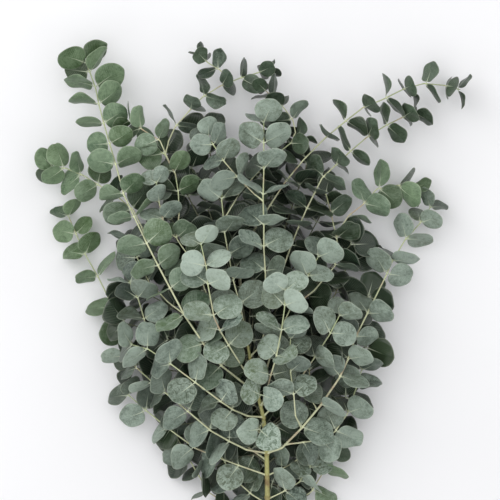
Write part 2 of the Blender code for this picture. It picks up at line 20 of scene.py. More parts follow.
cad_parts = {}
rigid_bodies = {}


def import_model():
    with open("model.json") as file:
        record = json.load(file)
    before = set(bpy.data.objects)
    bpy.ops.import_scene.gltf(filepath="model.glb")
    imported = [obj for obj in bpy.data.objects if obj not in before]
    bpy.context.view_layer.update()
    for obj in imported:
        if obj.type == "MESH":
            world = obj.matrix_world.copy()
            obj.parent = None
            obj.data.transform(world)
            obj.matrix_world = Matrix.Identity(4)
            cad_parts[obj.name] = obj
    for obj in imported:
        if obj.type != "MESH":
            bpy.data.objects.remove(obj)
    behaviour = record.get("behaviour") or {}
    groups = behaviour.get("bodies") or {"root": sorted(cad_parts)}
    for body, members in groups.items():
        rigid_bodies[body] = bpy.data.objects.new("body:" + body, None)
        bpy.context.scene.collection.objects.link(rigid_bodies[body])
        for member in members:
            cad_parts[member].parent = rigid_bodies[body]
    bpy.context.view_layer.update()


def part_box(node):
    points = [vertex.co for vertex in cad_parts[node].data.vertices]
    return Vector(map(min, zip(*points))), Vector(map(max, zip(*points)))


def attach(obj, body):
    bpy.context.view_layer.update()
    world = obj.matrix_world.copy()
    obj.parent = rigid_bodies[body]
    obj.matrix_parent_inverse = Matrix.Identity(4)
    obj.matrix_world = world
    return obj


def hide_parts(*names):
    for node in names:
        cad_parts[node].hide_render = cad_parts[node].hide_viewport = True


bl_info = {
    "name": "Eucalyptus branch",
    "version": (1, 0, 0),
    "blender": (4, 5, 0),
    "location": "3D View > Sidebar > Eucalyptus",
    "description": "Adds the leaves, twigs, bark and studio of a cut eucalyptus branch",
    "category": "Add Mesh",
}

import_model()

# All driving dimensions are in millimetres and degrees.
MM = 0.001
SEED = 7
UP = Vector((0, 0, 1))
UPRIGHT = 0.03
PARALLEL = 1e-9

# Stems: their tips, their seats on the stem that carries them, and their distance to the others
TIP_RADIUS = 1.1
MAIN_TIP_RADIUS = 1.6
THICK_STEM = 3.0
JOINT_GAP = 0.3
SEAT_STEP = 0.2
SEAT_STEPS = 150
STEM_GAP = 0.8
CLEAR_MARGIN = 0.1
LEAST_SHARE = 0.3
CAP_WELD = 0.01
SAME_NODE = 12.0
ROOT_AHEAD = 2.5
ROOT_BEHIND_TIP = 1.2
LOWEST_STEM = 3.0
FLAT_SIDE_UP = 45
CLEAR_ROUNDS = 80

# Leaf blades
BLADE_THICKNESS = 0.8
ROOT_HALF_WIDTH = 0.35
ROOT_SUNK = 0.3
BLADE_GAP = 0.35
FLOOR_GAP = 0.02
ARCH = 0.07
LONGEST_LEAF = 42.0

# Opening: how far a leaf stands off its stem, wider at the base of a shoot than at its tip
OPENING_AT_BASE = 10
CLOSING_TO_TIP = 24
LEAST_OPENING = 20
MOST_OPENING = 125

# Seeded differences between leaves
PAIR_TURN_SPREAD = 9
LEAF_TURN_SPREAD = 5
OPENING_SPREAD = 7
TWIST_SPREAD = 16
TO_LIGHT_RANGE = (0.12, 1.2)
WIDTH_RANGE = (0.94, 1.1)
LENGTH_RANGE = (0.96, 1.1)
ARCH_RANGE = (-0.5, 1.0)

# Each row across a blade: its place along the midrib, as a share of the length, and its half
# width, as a share of the full width. The first row is the root, inside the stem, and the
# short stalk ends at the second.
FIRST_WIDE_ROW = 2
BLADE_ROWS = ((0.0, 0.0), (0.07, 0.0), (0.25, 0.46), (0.91, 0.34))

# How a leaf that meets another is turned clear: opening, turn round the stem, and twist.
TURNS = (
    (0, 0, 0), (0, 0, 14), (0, 0, -14), (8, 0, 0), (-8, 0, 0), (0, 12, 0), (0, -12, 0),
    (0, 0, 28), (0, 0, -28), (8, 0, 20), (8, 0, -20), (-8, 0, 20), (-8, 0, -20),
    (16, 0, 0), (-16, 0, 0), (0, 24, 0), (0, -24, 0), (12, 16, 14), (12, -16, -14),
    (-12, 16, 14), (-12, -16, -14), (0, 0, 45), (0, 0, -45), (24, 0, 0), (-24, 0, 0),
    (16, 20, 35), (16, -20, -35), (-16, 20, 35), (-16, -20, -35), (32, 0, 0), (0, 40, 0),
    (0, -40, 0), (24, 0, 40), (24, 0, -40), (24, 30, 0), (24, -30, 0),
)
SCALES = (1.0, 0.88, 0.76)

Stem = namedtuple("Stem", "name parent radius tone opening first_turn turn_step to_light longer route")
Leaf = namedtuple("Leaf", "stem root axis opening turn twist to_light width length arch")

# A route runs from the parent to the tip as (x, y, z, width of the leaf pair there), and a
# width of 0 is a bend or a node that has lost its leaves.
MAIN_STEM = Stem(
    "main_stem", "", 3.9, "bark", 0, 0, 0, 0, 0,
    [(22, -385, 3.9, 0), (22, -345, 22, 0), (22, -312, 38, 0), (21, -256, 54, 0),
     (17, -210, 64, 0), (10, -181, 70, 0), (5, -154, 74, 0), (0, -135, 78, 0), (-5, -104, 84, 0)],
)

SHOOTS = [Stem(*row) for row in (
    ("shoot_leader", "main_stem", 1.5, "wax", 66, -10, 64, 0.55, 1.0, [
        (-5, -102, 85, 0), (-12, -69, 88, 34), (-20, -40, 89, 33), (-26, -8, 89, 33),
        (-31, 19, 86, 33), (-35, 61, 80, 32), (-34, 95, 74, 26)]),
    ("shoot_left_long", "main_stem", 2.4, "fresh", 74, -6, 20, 0.75, 1.0, [
        (10, -181, 70, 0), (-14, -160, 82, 0), (-34, -144, 90, 34), (-56, -117, 96, 34),
        (-80, -81, 100, 34), (-97, -49, 100, 33), (-112, -21, 98, 33), (-126, 6, 95, 33),
        (-142, 39, 90, 32), (-156, 68, 84, 32), (-166, 104, 78, 31), (-174, 130, 70, 31),
        (-182, 156, 62, 34), (-189, 181, 55, 34), (-194, 203, 48, 34), (-201, 222, 44, 34),
        (-207, 237, 41, 34)]),
    ("shoot_right_outer", "main_stem", 2.6, "dull", 66, -14, 58, 0.62, 1.0, [
        (21, -256, 54, 0), (40, -247, 62, 0), (64, -222, 70, 35), (87, -194, 74, 34),
        (111, -159, 74, 33), (121, -138, 72, 31), (131, -110, 66, 29), (146, -81, 58, 31),
        (171, -32, 48, 34), (178, -16, 45, 34), (195, 12, 40, 33), (214, 33, 37, 27),
        (228, 54, 34, 24)]),
    ("shoot_left_bright", "main_stem", 2.0, "wax", 68, -12, 56, 0.66, 1.0, [
        (17, -210, 64, 0), (-3, -206, 76, 0), (-20, -198, 86, 31), (-34, -188, 94, 32),
        (-65, -164, 104, 34), (-95, -141, 109, 34), (-124, -122, 105, 33), (-146, -116, 100, 30)]),
    ("shoot_right_mid", "main_stem", 1.8, "wax", 66, -12, 60, 0.62, 1.0, [
        (17, -210, 64, 0), (34, -190, 72, 0), (58, -166, 74, 32), (79, -135, 79, 33),
        (98, -105, 87, 33), (111, -80, 89, 28)]),
    ("shoot_left_mid", "main_stem", 2.1, "wax", 66, -12, 58, 0.6, 1.0, [
        (21, -256, 54, 0), (-5, -249, 63, 0), (-24, -239, 70, 33), (-48, -225, 74, 34),
        (-75, -202, 76, 34), (-104, -179, 68, 33), (-121, -166, 60, 31), (-140, -150, 51, 30),
        (-160, -132, 44, 26)]),
    ("shoot_left_lower", "main_stem", 1.8, "dull", 66, -10, 50, 0.62, 1.0, [
        (21, -285, 46, 0), (-12, -271, 50, 33), (-39, -261, 50, 33), (-69, -249, 47, 32),
        (-101, -226, 44, 30), (-129, -204, 39, 30), (-154, -183, 34, 28)]),
    ("shoot_right_lower", "main_stem", 1.7, "dull", 66, -10, 50, 0.62, 1.0, [
        (21, -285, 46, 0), (38, -277, 44, 30), (57, -266, 43, 31), (74, -253, 40, 0),
        (93, -248, 36, 24)]),
    ("shoot_bright_centre", "main_stem", 1.8, "bright", 68, -20, 64, 0.75, 1.0, [
        (14, -197, 66, 0), (18, -184, 84, 0), (25, -156, 100, 32), (32, -131, 112, 32),
        (38, -100, 120, 33), (42, -70, 126, 32), (43, -48, 129, 29)]),
    ("shoot_right_centre", "main_stem", 1.9, "wax", 66, -12, 62, 0.62, 1.0, [
        (10, -181, 70, 0), (20, -150, 78, 0), (31, -112, 86, 33), (49, -74, 95, 33),
        (70, -34, 100, 33), (84, -8, 100, 32)]),
    ("shoot_left_centre", "main_stem", 1.9, "bright", 70, -18, 62, 0.68, 1.0, [
        (6, -163, 73, 0), (-6, -150, 86, 0), (-25, -119, 100, 33), (-36, -100, 106, 34),
        (-44, -82, 112, 34), (-51, -44, 118, 36), (-53, -22, 119, 32), (-60, 8, 118, 27)]),
    ("shoot_top_centre", "main_stem", 2.0, "wax", 68, -12, 66, 0.58, 1.0, [
        (0, -135, 78, 0), (14, -118, 74, 0), (20, -92, 74, 0), (20, -60, 80, 34),
        (19, -28, 90, 34), (17, 2, 97, 34), (17, 29, 102, 34), (16, 66, 105, 34),
        (17, 97, 102, 33), (17, 129, 95, 32), (17, 158, 88, 30)]),
    ("shoot_right_long", "main_stem", 2.2, "dark", 76, 4, 84, 0.18, 1.0, [
        (-3, -118, 81, 0), (-8, -84, 64, 0), (-12, -38, 55, 0), (-7, 0, 56, 0), (6, 26, 58, 0),
        (24, 54, 60, 33), (44, 85, 61, 33), (68, 114, 61, 32), (94, 140, 60, 31),
        (118, 160, 58, 30), (141, 178, 55, 28), (169, 190, 50, 28), (192, 202, 45, 27),
        (219, 210, 40, 27), (245, 208, 36, 26), (264, 203, 34, 22)]),
    ("shoot_floor_left", "main_stem", 2.2, "fresh", 66, -12, 44, 0.6, 1.0, [
        (21, -266, 52, 0), (-6, -246, 40, 0), (-31, -225, 30, 0), (-60, -206, 26, 0),
        (-88, -188, 24, 34), (-114, -164, 22, 0), (-138, -138, 22, 34), (-156, -108, 22, 34),
        (-173, -75, 22, 33), (-192, -36, 22, 31), (-208, -8, 22, 30), (-220, 18, 22, 28),
        (-231, 44, 22, 25)]),
    ("shoot_left_arch", "shoot_left_long", 1.6, "fresh", 66, -12, 58, 0.55, 1.0, [
        (-34, -144, 90, 0), (-40, -112, 82, 0), (-46, -75, 80, 0), (-60, -38, 82, 0),
        (-75, -9, 82, 31), (-91, 14, 82, 31), (-88, 44, 79, 0), (-89, 71, 74, 30),
        (-93, 95, 69, 30), (-106, 119, 62, 32), (-122, 131, 56, 30)]),
    ("shoot_left_side", "shoot_left_long", 1.5, "fresh", 62, -12, 40, 0.62, 1.0, [
        (-126, 6, 95, 0), (-134, 28, 76, 0), (-146, 50, 62, 32), (-165, 66, 57, 30),
        (-189, 81, 52, 31), (-210, 94, 47, 31), (-232, 103, 43, 31), (-249, 104, 40, 27)]),
    ("shoot_top_side", "shoot_top_centre", 1.4, "wax", 64, -12, 60, 0.6, 1.0, [
        (16, 58, 104, 0), (2, 72, 104, 0), (-14, 88, 100, 30), (-31, 108, 94, 30),
        (-44, 128, 88, 28), (-52, 141, 84, 26)]),
    ("shoot_right_upper", "shoot_top_centre", 1.9, "dark", 76, 14, 84, 0.22, 1.0, [
        (20, -50, 82, 0), (40, -26, 68, 0), (51, 4, 62, 33), (60, 27, 64, 33), (70, 50, 67, 32),
        (80, 70, 66, 31), (90, 90, 64, 31), (106, 105, 61, 30), (124, 122, 58, 30),
        (146, 141, 54, 28), (170, 156, 50, 27), (190, 166, 46, 26), (207, 173, 42, 25)]),
    ("shoot_right_fan", "shoot_right_centre", 1.6, "dark", 64, -8, 62, 0.5, 1.0, [
        (49, -74, 95, 0), (80, -50, 72, 0), (106, -20, 60, 30), (109, 12, 57, 31),
        (102, 44, 54, 30), (96, 68, 52, 28), (88, 86, 50, 22)]),
    ("shoot_right_side", "shoot_right_fan", 1.4, "fresh", 62, -16, 52, 0.66, 1.0, [
        (109, 10, 57, 0), (114, 28, 48, 0), (124, 43, 45, 30), (142, 57, 43, 32),
        (160, 77, 40, 32), (186, 82, 36, 31), (207, 76, 32, 24)]),
    ("shoot_high_side", "shoot_leader", 1.4, "dark", 66, -8, 66, 0.5, 1.0, [
        (-31, 19, 86, 0), (-30, 42, 76, 0), (-12, 72, 68, 29), (8, 95, 66, 29), (29, 116, 66, 28),
        (49, 132, 64, 27), (62, 141, 61, 24)]),
    ("shoot_top_left", "shoot_left_arch", 1.4, "dark", 58, 18, 80, 0.5, 1.25, [
        (-105, 117, 62, 0), (-102, 136, 58, 0), (-94, 154, 54, 24), (-76, 175, 50, 24),
        (-60, 192, 48, 23), (-38, 206, 45, 23), (-14, 216, 42, 22), (8, 223, 39, 20),
        (24, 228, 36, 14)]),
    ("shoot_top_tip", "shoot_top_left", 1.0, "dark", 54, 10, 80, 0.5, 1.15, [
        (-22, 213, 43, 0), (-38, 227, 42, 21), (-53, 236, 40, 20), (-61, 245, 38, 15)]),
    ("shoot_top_right", "shoot_high_side", 1.1, "dark", 56, 20, 80, 0.45, 1.25, [
        (49, 132, 64, 0), (57, 147, 58, 0), (54, 162, 54, 22), (43, 178, 50, 22),
        (31, 191, 47, 21), (20, 200, 44, 16)]),
    ("shoot_left_top", "shoot_left_arch", 1.2, "fresh", 60, 0, 44, 0.6, 1.0, [
        (-98, 104, 67, 0), (-112, 136, 70, 27), (-134, 150, 66, 28), (-150, 163, 60, 24)]),
    ("shoot_left_pink", "shoot_left_arch", 1.2, "dull", 58, 18, 76, 0.6, 1.05, [
        (-91, 14, 82, 0), (-101, 22, 88, 0), (-107, 36, 91, 26), (-112, 58, 89, 25),
        (-116, 84, 84, 20)]),
    ("shoot_right_curve", "shoot_right_outer", 1.8, "dull", 66, -14, 56, 0.6, 1.0, [
        (40, -247, 68, 0), (64, -240, 64, 31), (86, -238, 60, 31), (106, -228, 55, 32),
        (122, -206, 50, 32), (133, -175, 46, 30), (141, -150, 43, 26)]),
    ("shoot_right_inner", "shoot_right_outer", 1.4, "wax", 64, -14, 60, 0.66, 1.0, [
        (62, -226, 83, 0), (56, -204, 94, 0), (54, -180, 98, 31), (50, -152, 100, 30),
        (49, -128, 99, 28), (50, -108, 97, 22)]),
    ("shoot_right_short", "shoot_right_outer", 1.2, "dark", 64, -12, 54, 0.6, 1.0, [
        (84, -203, 88, 0), (78, -188, 70, 0), (75, -170, 64, 30), (74, -148, 62, 26)]),
    ("shoot_butt_left", "main_stem", 1.4, "dull", 64, -12, 52, 0.6, 1.0, [
        (22, -352, 20, 0), (-14, -332, 22, 0), (-52, -308, 24, 24), (-64, -288, 25, 26),
        (-78, -264, 25, 26), (-94, -236, 22, 22)]),
    ("shoot_butt_bluish", "main_stem", 1.5, "wax", 66, -14, 54, 0.66, 1.0, [
        (22, -325, 33, 0), (2, -308, 39, 31), (-16, -292, 42, 34), (-30, -270, 44, 32),
        (-44, -246, 42, 28)]),
    ("shoot_butt_right", "main_stem", 1.7, "fresh", 66, -14, 54, 0.62, 1.0, [
        (22, -345, 24, 0), (52, -324, 26, 0), (78, -306, 28, 33), (92, -283, 28, 33),
        (100, -262, 26, 30), (106, -240, 22, 22)]),
    ("shoot_butt_short", "main_stem", 1.4, "wax", 66, -14, 54, 0.64, 1.0, [
        (22, -318, 36, 0), (42, -304, 43, 31), (62, -292, 46, 31), (76, -272, 46, 28)]),
    ("shoot_left_inner", "shoot_floor_left", 1.4, "wax", 66, -14, 54, 0.66, 1.0, [
        (-138, -138, 22, 0), (-133, -112, 40, 0), (-132, -88, 56, 31), (-139, -62, 66, 31),
        (-150, -40, 70, 28)]),
    ("shoot_left_drop", "shoot_left_long", 1.4, "wax", 66, -14, 54, 0.64, 1.0, [
        (-80, -81, 100, 0), (-102, -64, 80, 0), (-126, -40, 64, 30), (-140, -12, 60, 30),
        (-148, 12, 58, 26)]),
    ("shoot_low_heart", "main_stem", 1.2, "bright", 66, 10, 60, 0.9, 1.0, [
        (16, -214, 64, 0), (13, -218, 76, 0), (12, -222, 88, 32)]),
    ("shoot_high_heart", "main_stem", 1.2, "bright", 66, -10, 60, 0.9, 1.0, [
        (11, -185, 69, 0), (12, -181, 84, 0), (14, -178, 97, 33)]),
    # The three shoots under the others take the dark tone, partly as painted shade
    ("shoot_under_left", "main_stem", 2.0, "dark", 66, -16, 44, 0.9, 1.0, [
        (4, -150, 75, 0), (-18, -118, 48, 0), (-44, -84, 34, 0), (-64, -50, 30, 36),
        (-82, -14, 28, 36), (-96, 26, 28, 35)]),
    ("shoot_under_base", "main_stem", 1.8, "dark", 66, -16, 44, 0.9, 1.0, [
        (19, -236, 58, 0), (-2, -218, 42, 0), (-26, -196, 32, 0), (-50, -166, 28, 36),
        (-72, -136, 27, 35)]),
    ("shoot_under_right", "main_stem", 2.0, "dark", 66, -16, 44, 0.9, 1.0, [
        (14, -196, 66, 0), (40, -168, 44, 0), (62, -134, 34, 0), (86, -94, 29, 36),
        (108, -56, 27, 36), (126, -14, 26, 34)]),
)]


def run_lengths(points):
    """How far along a run of points each of them lies."""
    lengths = [0.0]
    for near, far in zip(points, points[1:]):
        lengths.append(lengths[-1] + (far - near).length)
    return lengths


def smooth_radii(stem):
    """A stem's radius at each point of its route, thinner towards the tip."""
    lengths = run_lengths([Vector(point[:3]) for point in stem.route])
    tip = TIP_RADIUS if stem.parent else MAIN_TIP_RADIUS
    return [stem.radius + (tip - stem.radius) * run / lengths[-1] for run in lengths]


def closest_on_axis(points, target):
    """The place on a run of points that is nearest to the target."""
    best = points[0]
    for near, far in zip(points, points[1:]):
        run = far - near
        share = max(0.0, min(1.0, (target - near).dot(run) / run.length_squared))
        place = near + run * share
        if (place - target).length < (best - target).length:
            best = place
    return best


def closest_between(a, b, c, d):
    """The nearest places on the segments a to b and c to d, as shares of each."""
    u = b - a
    v = d - c
    w = a - c
    uu, uv, vv = u.dot(u), u.dot(v), v.dot(v)
    uw, vw = u.dot(w), v.dot(w)
    spread = uu * vv - uv * uv
    s = 0.0
    if spread > PARALLEL:
        s = max(0.0, min(1.0, (uv * vw - vv * uw) / spread))
    t = (uv * s + vw) / vv
    if t < 0.0 or t > 1.0:
        t = max(0.0, min(1.0, t))
        s = max(0.0, min(1.0, (uv * t - uw) / uu))
    return s, t


def raise_clear(points, radii, placed, parent):
    """Raise or lower a stem's points until the stem clears every stem that is already placed."""
    for _ in range(CLEAR_ROUNDS):
        moved = False
        for k in range(len(points) - 1):
            for name, other_points, other_radii in placed:
                beside = (points[0] - other_points[0]).length < SAME_NODE
                for m in range(len(other_points) - 1):
                    if k == 0 and (name == parent or (beside and m == 0)):
                        continue
                    near, far = points[k], points[k + 1]
                    low, high = other_points[m], other_points[m + 1]
                    s, t = closest_between(near, far, low, high)
                    here = near.lerp(far, s)
                    there = low.lerp(high, t)
                    own = radii[k] + (radii[k + 1] - radii[k]) * s
                    their = other_radii[m] + (other_radii[m + 1] - other_radii[m]) * t
                    need = own + their + STEM_GAP
                    if (here - there).length >= need:
                        continue
                    flat = math.hypot(here.x - there.x, here.y - there.y)
                    rise = math.sqrt(max(0.0, need * need - flat * flat)) + CLEAR_MARGIN
                    above = here.z >= there.z or there.z - rise < LOWEST_STEM
                    change = there.z + (rise if above else -rise) - here.z
                    if k == 0:
                        points[1].z += change / max(s, LEAST_SHARE)
                    else:
                        spread = (1 - s) ** 2 + s ** 2
                        points[k].z += change * (1 - s) / spread
                        points[k + 1].z += change * s / spread
                    moved = True
        if not moved:
            return points
    return points


def stem_mesh(points, radii, grow=0.0):
    """A stem as a closed mesh of a tapering tube through its points, in millimetres.

    The main stem has eight sides, and a thin one has four.
    """
    curve = bpy.data.curves.new("stem_route", "CURVE")
    curve.dimensions = "3D"
    curve.bevel_depth = 1.0
    curve.bevel_resolution = 2 if radii[0] > THICK_STEM else 0
    curve.use_fill_caps = True
    curve.twist_mode = "Z_UP"
    spline = curve.splines.new("POLY")
    spline.points.add(len(points) - 1)
    for control, place, radius in zip(spline.points, points, radii):
        control.co = (*place, 1.0)
        control.radius = radius + grow
        control.tilt = math.radians(FLAT_SIDE_UP)
    route = bpy.data.objects.new("stem_route", curve)
    bpy.context.scene.collection.objects.link(route)
    depsgraph = bpy.context.evaluated_depsgraph_get()
    mesh = bpy.data.meshes.new_from_object(route.evaluated_get(depsgraph))
    bpy.data.objects.remove(route)
    bpy.data.curves.remove(curve)
    shape = bmesh.new()
    shape.from_mesh(mesh)
    bpy.data.meshes.remove(mesh)
    bmesh.ops.remove_doubles(shape, verts=shape.verts[:], dist=CAP_WELD)
    bmesh.ops.triangulate(shape, faces=shape.faces[:])
    return shape


def tree_of(shape):
    """A search tree for a closed shape, which is freed."""
    tree = BVHTree.FromBMesh(shape)
    shape.free()
    return tree


def seat_on_parent(points, radii, parent_tree):
    """Move a stem's base out along its first run until it only just clears its parent's bark."""
    start = points[0].copy()
    towards = (points[1] - start).normalized()
    for step in range(1, SEAT_STEPS):
        points[0] = start + towards * SEAT_STEP * step
        if not tree_of(stem_mesh(points[:2], radii[:2])).overlap(parent_tree):
            return


def place_stems(shoots):
    """Every stem's points and radii by name, with the shoots seated and clear of each other."""
    placed = {}
    for stem in [MAIN_STEM] + shoots:
        points = [Vector(point[:3]) for point in stem.route]
        radii = smooth_radii(stem)
        if stem.parent:
            parent_points, parent_radii = placed[stem.parent]
            points[0] = closest_on_axis(parent_points, points[0])
            others = [(name, *shape) for name, shape in placed.items()]
            raise_clear(points, radii, others, stem.parent)
            parent_tree = tree_of(stem_mesh(parent_points, parent_radii, JOINT_GAP))
            seat_on_parent(points, radii, parent_tree)
        placed[stem.name] = (points, radii)
    return placed


def leaf_frame(leaf):
    """A leaf's place and directions: X across the blade, Y along the midrib, Z its upper face."""
    side = leaf.axis.cross(UP)
    if side.length < UPRIGHT:
        side = Vector((1, 0, 0))
    side.normalize()
    over = side.cross(leaf.axis).normalized()
    turn = math.radians(leaf.turn)
    outwards = side * math.cos(turn) + over * math.sin(turn)
    opening = math.radians(leaf.opening)
    midrib = leaf.axis * math.cos(opening) + outwards * math.sin(opening)
    face = leaf.axis * math.sin(opening) - outwards * math.cos(opening)
    to_sky = UP - midrib * UP.dot(midrib)
    twist = math.radians(leaf.twist)
    if to_sky.length > UPRIGHT:
        to_sky.normalize()
        if to_sky.dot(face) < 0:
            to_sky.negate()
        angle = math.atan2(face.cross(to_sky).dot(midrib), face.dot(to_sky))
        twist += angle * leaf.to_light
    face = Matrix.Rotation(twist, 3, midrib) @ face
    across = midrib.cross(face)
    facing = Matrix((across, midrib, face)).transposed().to_4x4()
    facing.translation = leaf.root - midrib * ROOT_SUNK
    return facing


def blade(leaf, grow=0.0, first_row=0):
    """A leaf's blade as a closed sheet, larger by grow all round, from a row to the tip."""
    rows = BLADE_ROWS[first_row:]
    shape = bmesh.new()
    bmesh.ops.create_grid(shape, x_segments=1, y_segments=len(rows) - 1, size=0.5)
    for corner in shape.verts:
        along, half = rows[round((corner.co.y + 0.5) * (len(rows) - 1))]
        half_width = max(ROOT_HALF_WIDTH, half * leaf.width) + grow
        corner.co.z = leaf.arch * leaf.length * math.sin(math.pi * along)
        corner.co.x = math.copysign(half_width, corner.co.x)
        corner.co.y = along * leaf.length + (grow if along == BLADE_ROWS[-1][0] else 0.0)
    bmesh.ops.triangulate(shape, faces=shape.faces[:])
    thickness = BLADE_THICKNESS + 2 * grow
    bmesh.ops.solidify(shape, geom=shape.faces[:], thickness=thickness)
    bmesh.ops.translate(shape, verts=shape.verts[:], vec=(0, 0, thickness / 2))
    bmesh.ops.recalc_face_normals(shape, faces=shape.faces[:])
    shape.transform(leaf_frame(leaf))
    return shape


def around(draw, spread):
    """A seeded value between minus and plus the spread."""
    return draw.uniform(-spread, spread)


def wanted_leaves(placed, shoots):
    """Every leaf pair that the routes ask for, with small seeded differences between leaves."""
    leaves = []
    for stem in shoots:
        draw = random.Random(f"{SEED} {stem.name}")
        points = placed[stem.name][0]
        pair = 0
        for k in range(1, len(points)):
            width = stem.route[k][3]
            if not width:
                continue
            ahead = points[min(k + 1, len(points) - 1)]
            behind = points[k - 1]
            axis = (ahead - behind).normalized()
            to_tip = k / (len(points) - 1)
            opening = stem.opening + OPENING_AT_BASE - CLOSING_TO_TIP * to_tip ** 2
            turn = stem.first_turn + (stem.turn_step if pair % 2 else 0)
            turn += around(draw, PAIR_TURN_SPREAD)
            if ahead == points[k]:
                root = points[k] - axis * ROOT_BEHIND_TIP
            else:
                root = points[k] + (ahead - points[k]).normalized() * ROOT_AHEAD
            for half_turn in (0, 180):
                leaf_width = width * draw.uniform(*WIDTH_RANGE)
                leaves.append(Leaf(
                    stem=stem.name,
                    root=root,
                    axis=axis,
                    opening=opening + around(draw, OPENING_SPREAD),
                    turn=turn + half_turn + around(draw, LEAF_TURN_SPREAD),
                    twist=around(draw, TWIST_SPREAD),
                    to_light=min(1.0, stem.to_light * draw.uniform(*TO_LIGHT_RANGE)),
                    width=leaf_width,
                    length=leaf_width * stem.longer * draw.uniform(*LENGTH_RANGE),
                    arch=ARCH * draw.uniform(*ARCH_RANGE),
                ))
            pair += 1
    return leaves


def turned(leaf, change, scale):
    """The leaf with its opening, turn and twist changed, and scaled."""
    return leaf._replace(
        opening=max(LEAST_OPENING, min(MOST_OPENING, leaf.opening + change[0])),
        turn=leaf.turn + change[1],
        twist=leaf.twist + change[2],
        width=leaf.width * scale,
        length=leaf.length * scale,
    )


def is_clear(leaf, stem_trees, kept):
    """Whether a leaf clears the surface, every other stem and every leaf already kept."""
    grown = blade(leaf, BLADE_GAP)
    if min(corner.co.z for corner in grown.verts) < BLADE_GAP + FLOOR_GAP:
        grown.free()
        return False
    grown = tree_of(grown)
    beyond_root = tree_of(blade(leaf, BLADE_GAP, FIRST_WIDE_ROW))
    for name, tree in stem_trees:
        if (beyond_root if name == leaf.stem else grown).overlap(tree):
            return False
    for other, whole, outer in kept:
        if other.stem != leaf.stem:
            if grown.overlap(whole):
                return False
        elif beyond_root.overlap(outer):
            return False
    return True


def place_leaves(placed, shoots, already=()):
    """The leaves that find room, each turned clear of the others, from the highest down."""
    stem_trees = []
    for name, (points, radii) in placed.items():
        stem_trees.append((name, tree_of(stem_mesh(points, radii))))
    kept = []
    for leaf in already:
        kept.append((leaf, tree_of(blade(leaf)), tree_of(blade(leaf, 0.0, FIRST_WIDE_ROW))))
    for leaf in sorted(wanted_leaves(placed, shoots), key=lambda one: -one.root.z):
        reach = leaf.length + LONGEST_LEAF
        near = [entry for entry in kept if (entry[0].root - leaf.root).length < reach]
        for scale in SCALES:
            for change in TURNS:
                tried = turned(leaf, change, scale)
                if is_clear(tried, stem_trees, near):
                    break
            else:
                continue
            kept.append((tried, tree_of(blade(tried)), tree_of(blade(tried, 0.0, FIRST_WIDE_ROW))))
            break
    return [entry[0] for entry in kept]


# The dressing, from here on in metres unless a name says millimetres
BODY = "root"
LOOK_SEED = 11

# The photograph: one pixel is this long at the height of the leaves, and its middle is the
# growing rules' origin.
PHOTO_SIDE = 500
PIXEL = 0.00125
LEAF_HEIGHT = 0.06
CAMERA_HEIGHT = 2.4
SENSOR = 36.0
FLOOR_HALF = 4.0

# Square soft boxes hang over the branch and stand round it: each one's place from its middle,
# its width and its share of the light. The strongest of those round it is at the upper left.
SOFT_BOXES = (
    ("soft_box_overhead", (-0.5, 0.5, 3.0), 3.0, 0.42),
    ("soft_box_upper_left", (-1.9, 1.5, 1.7), 1.9, 0.26),
    ("soft_box_upper_right", (1.7, 1.7, 1.7), 1.9, 0.12),
    ("soft_box_lower_right", (1.9, -1.5, 1.7), 1.9, 0.08),
    ("soft_box_lower_left", (-1.7, -1.7, 1.7), 1.9, 0.12),
)

# A leaf form is drawn at this length and width, and each leaf scales it.
FORM_SIZE = 0.034
FORM_COLUMNS = (0.0, 0.03, 0.08, 0.17, 0.3, 0.45, 0.6, 0.75, 0.89, 1.0)
FORM_ROWS = 17
BLADE_START = 0.06
ARCH_LEVELS = 6
FORMS_A_LEVEL = 5
STALK_SIDES = 6
STALK_RINGS = ((0.0, 1.0), (0.05, 0.85), (0.1, 0.62), (0.15, 0.3))

# How leaf forms differ: some tips are notched and the others pointed, as shares of an oval's
# reach, and each other trait is drawn between its two ends. The outline's waves are each a
# count, a share of the phase and a height.
NOTCHED_SHARE = 0.3
NOTCH = (-0.1, -0.04)
POINT = (0.0, 0.06)
STYLE_RANGES = {
    "tip_width": (0.16, 0.3), "base": (0.0, 0.1), "phase": (0, 2 * math.pi), "egg": (0.0, 0.12),
    "cup": (-0.9, 1.4), "fold": (0.0, 1.4), "wave": (0.4, 1.4),
}
EDGE_WAVES = (3, 4, 5)
CURL_RANGES = {"tip_curl": (-0.35, 0.5), "skew": (-0.16, 0.16)}
SIDE_CURL = 0.55
BASE_NOTCH_WIDTH = 0.38
OUTLINE_WAVES = ((3, 1, 0.014), (5, 2, 0.009))

# Where a form's surface turns, as shares of its length and width
TIP_CURL_START = 0.6
SIDE_CURL_START = 0.45
FOLD_SOFTNESS = 0.004
FOLD_DEPTH = 0.063
RIB_HALF_WIDTH = 0.024
RIB_END = 1.02
RIB_FADE = 0.7
EDGE_THINNING = 0.55

# A blade's thin edge reaches this much further than its thick solid.
LEAF_GROWTH = 1.05

# Twigs: a real twig is slimmer than its solid stem, which is thick enough to be made. Its radius
# is a share of the solid's and a little more, in millimetres. Each spread below runs along the
# twig as pairs of a distance, in millimetres, and a share: of the swelling at a leaf pair, of the
# collar at the base, or of the radius at the tip.
SLIM_SHARE = 0.5
SLIM_LEAST = 0.15
NODE_SPREAD = ((-5.0, 0.0), (-1.6, 0.55), (0.0, 1.0), (1.6, 0.55), (5.0, 0.0))
COLLAR_SPREAD = ((0.0, 1.0), (3.0, 0.7), (7.0, 0.0))
TIP_SPREAD = ((0.0, 0.8), (2.2, 0.55), (3.6, 0.12))
COLLAR_KNUCKLE = 0.5
TIP_KNUCKLE = 0.4
BASE_INSIDE = 0.9
BARE_NODE = 0.35
TWIG_SIDES = 10
TWIG_WAVE = 0.006

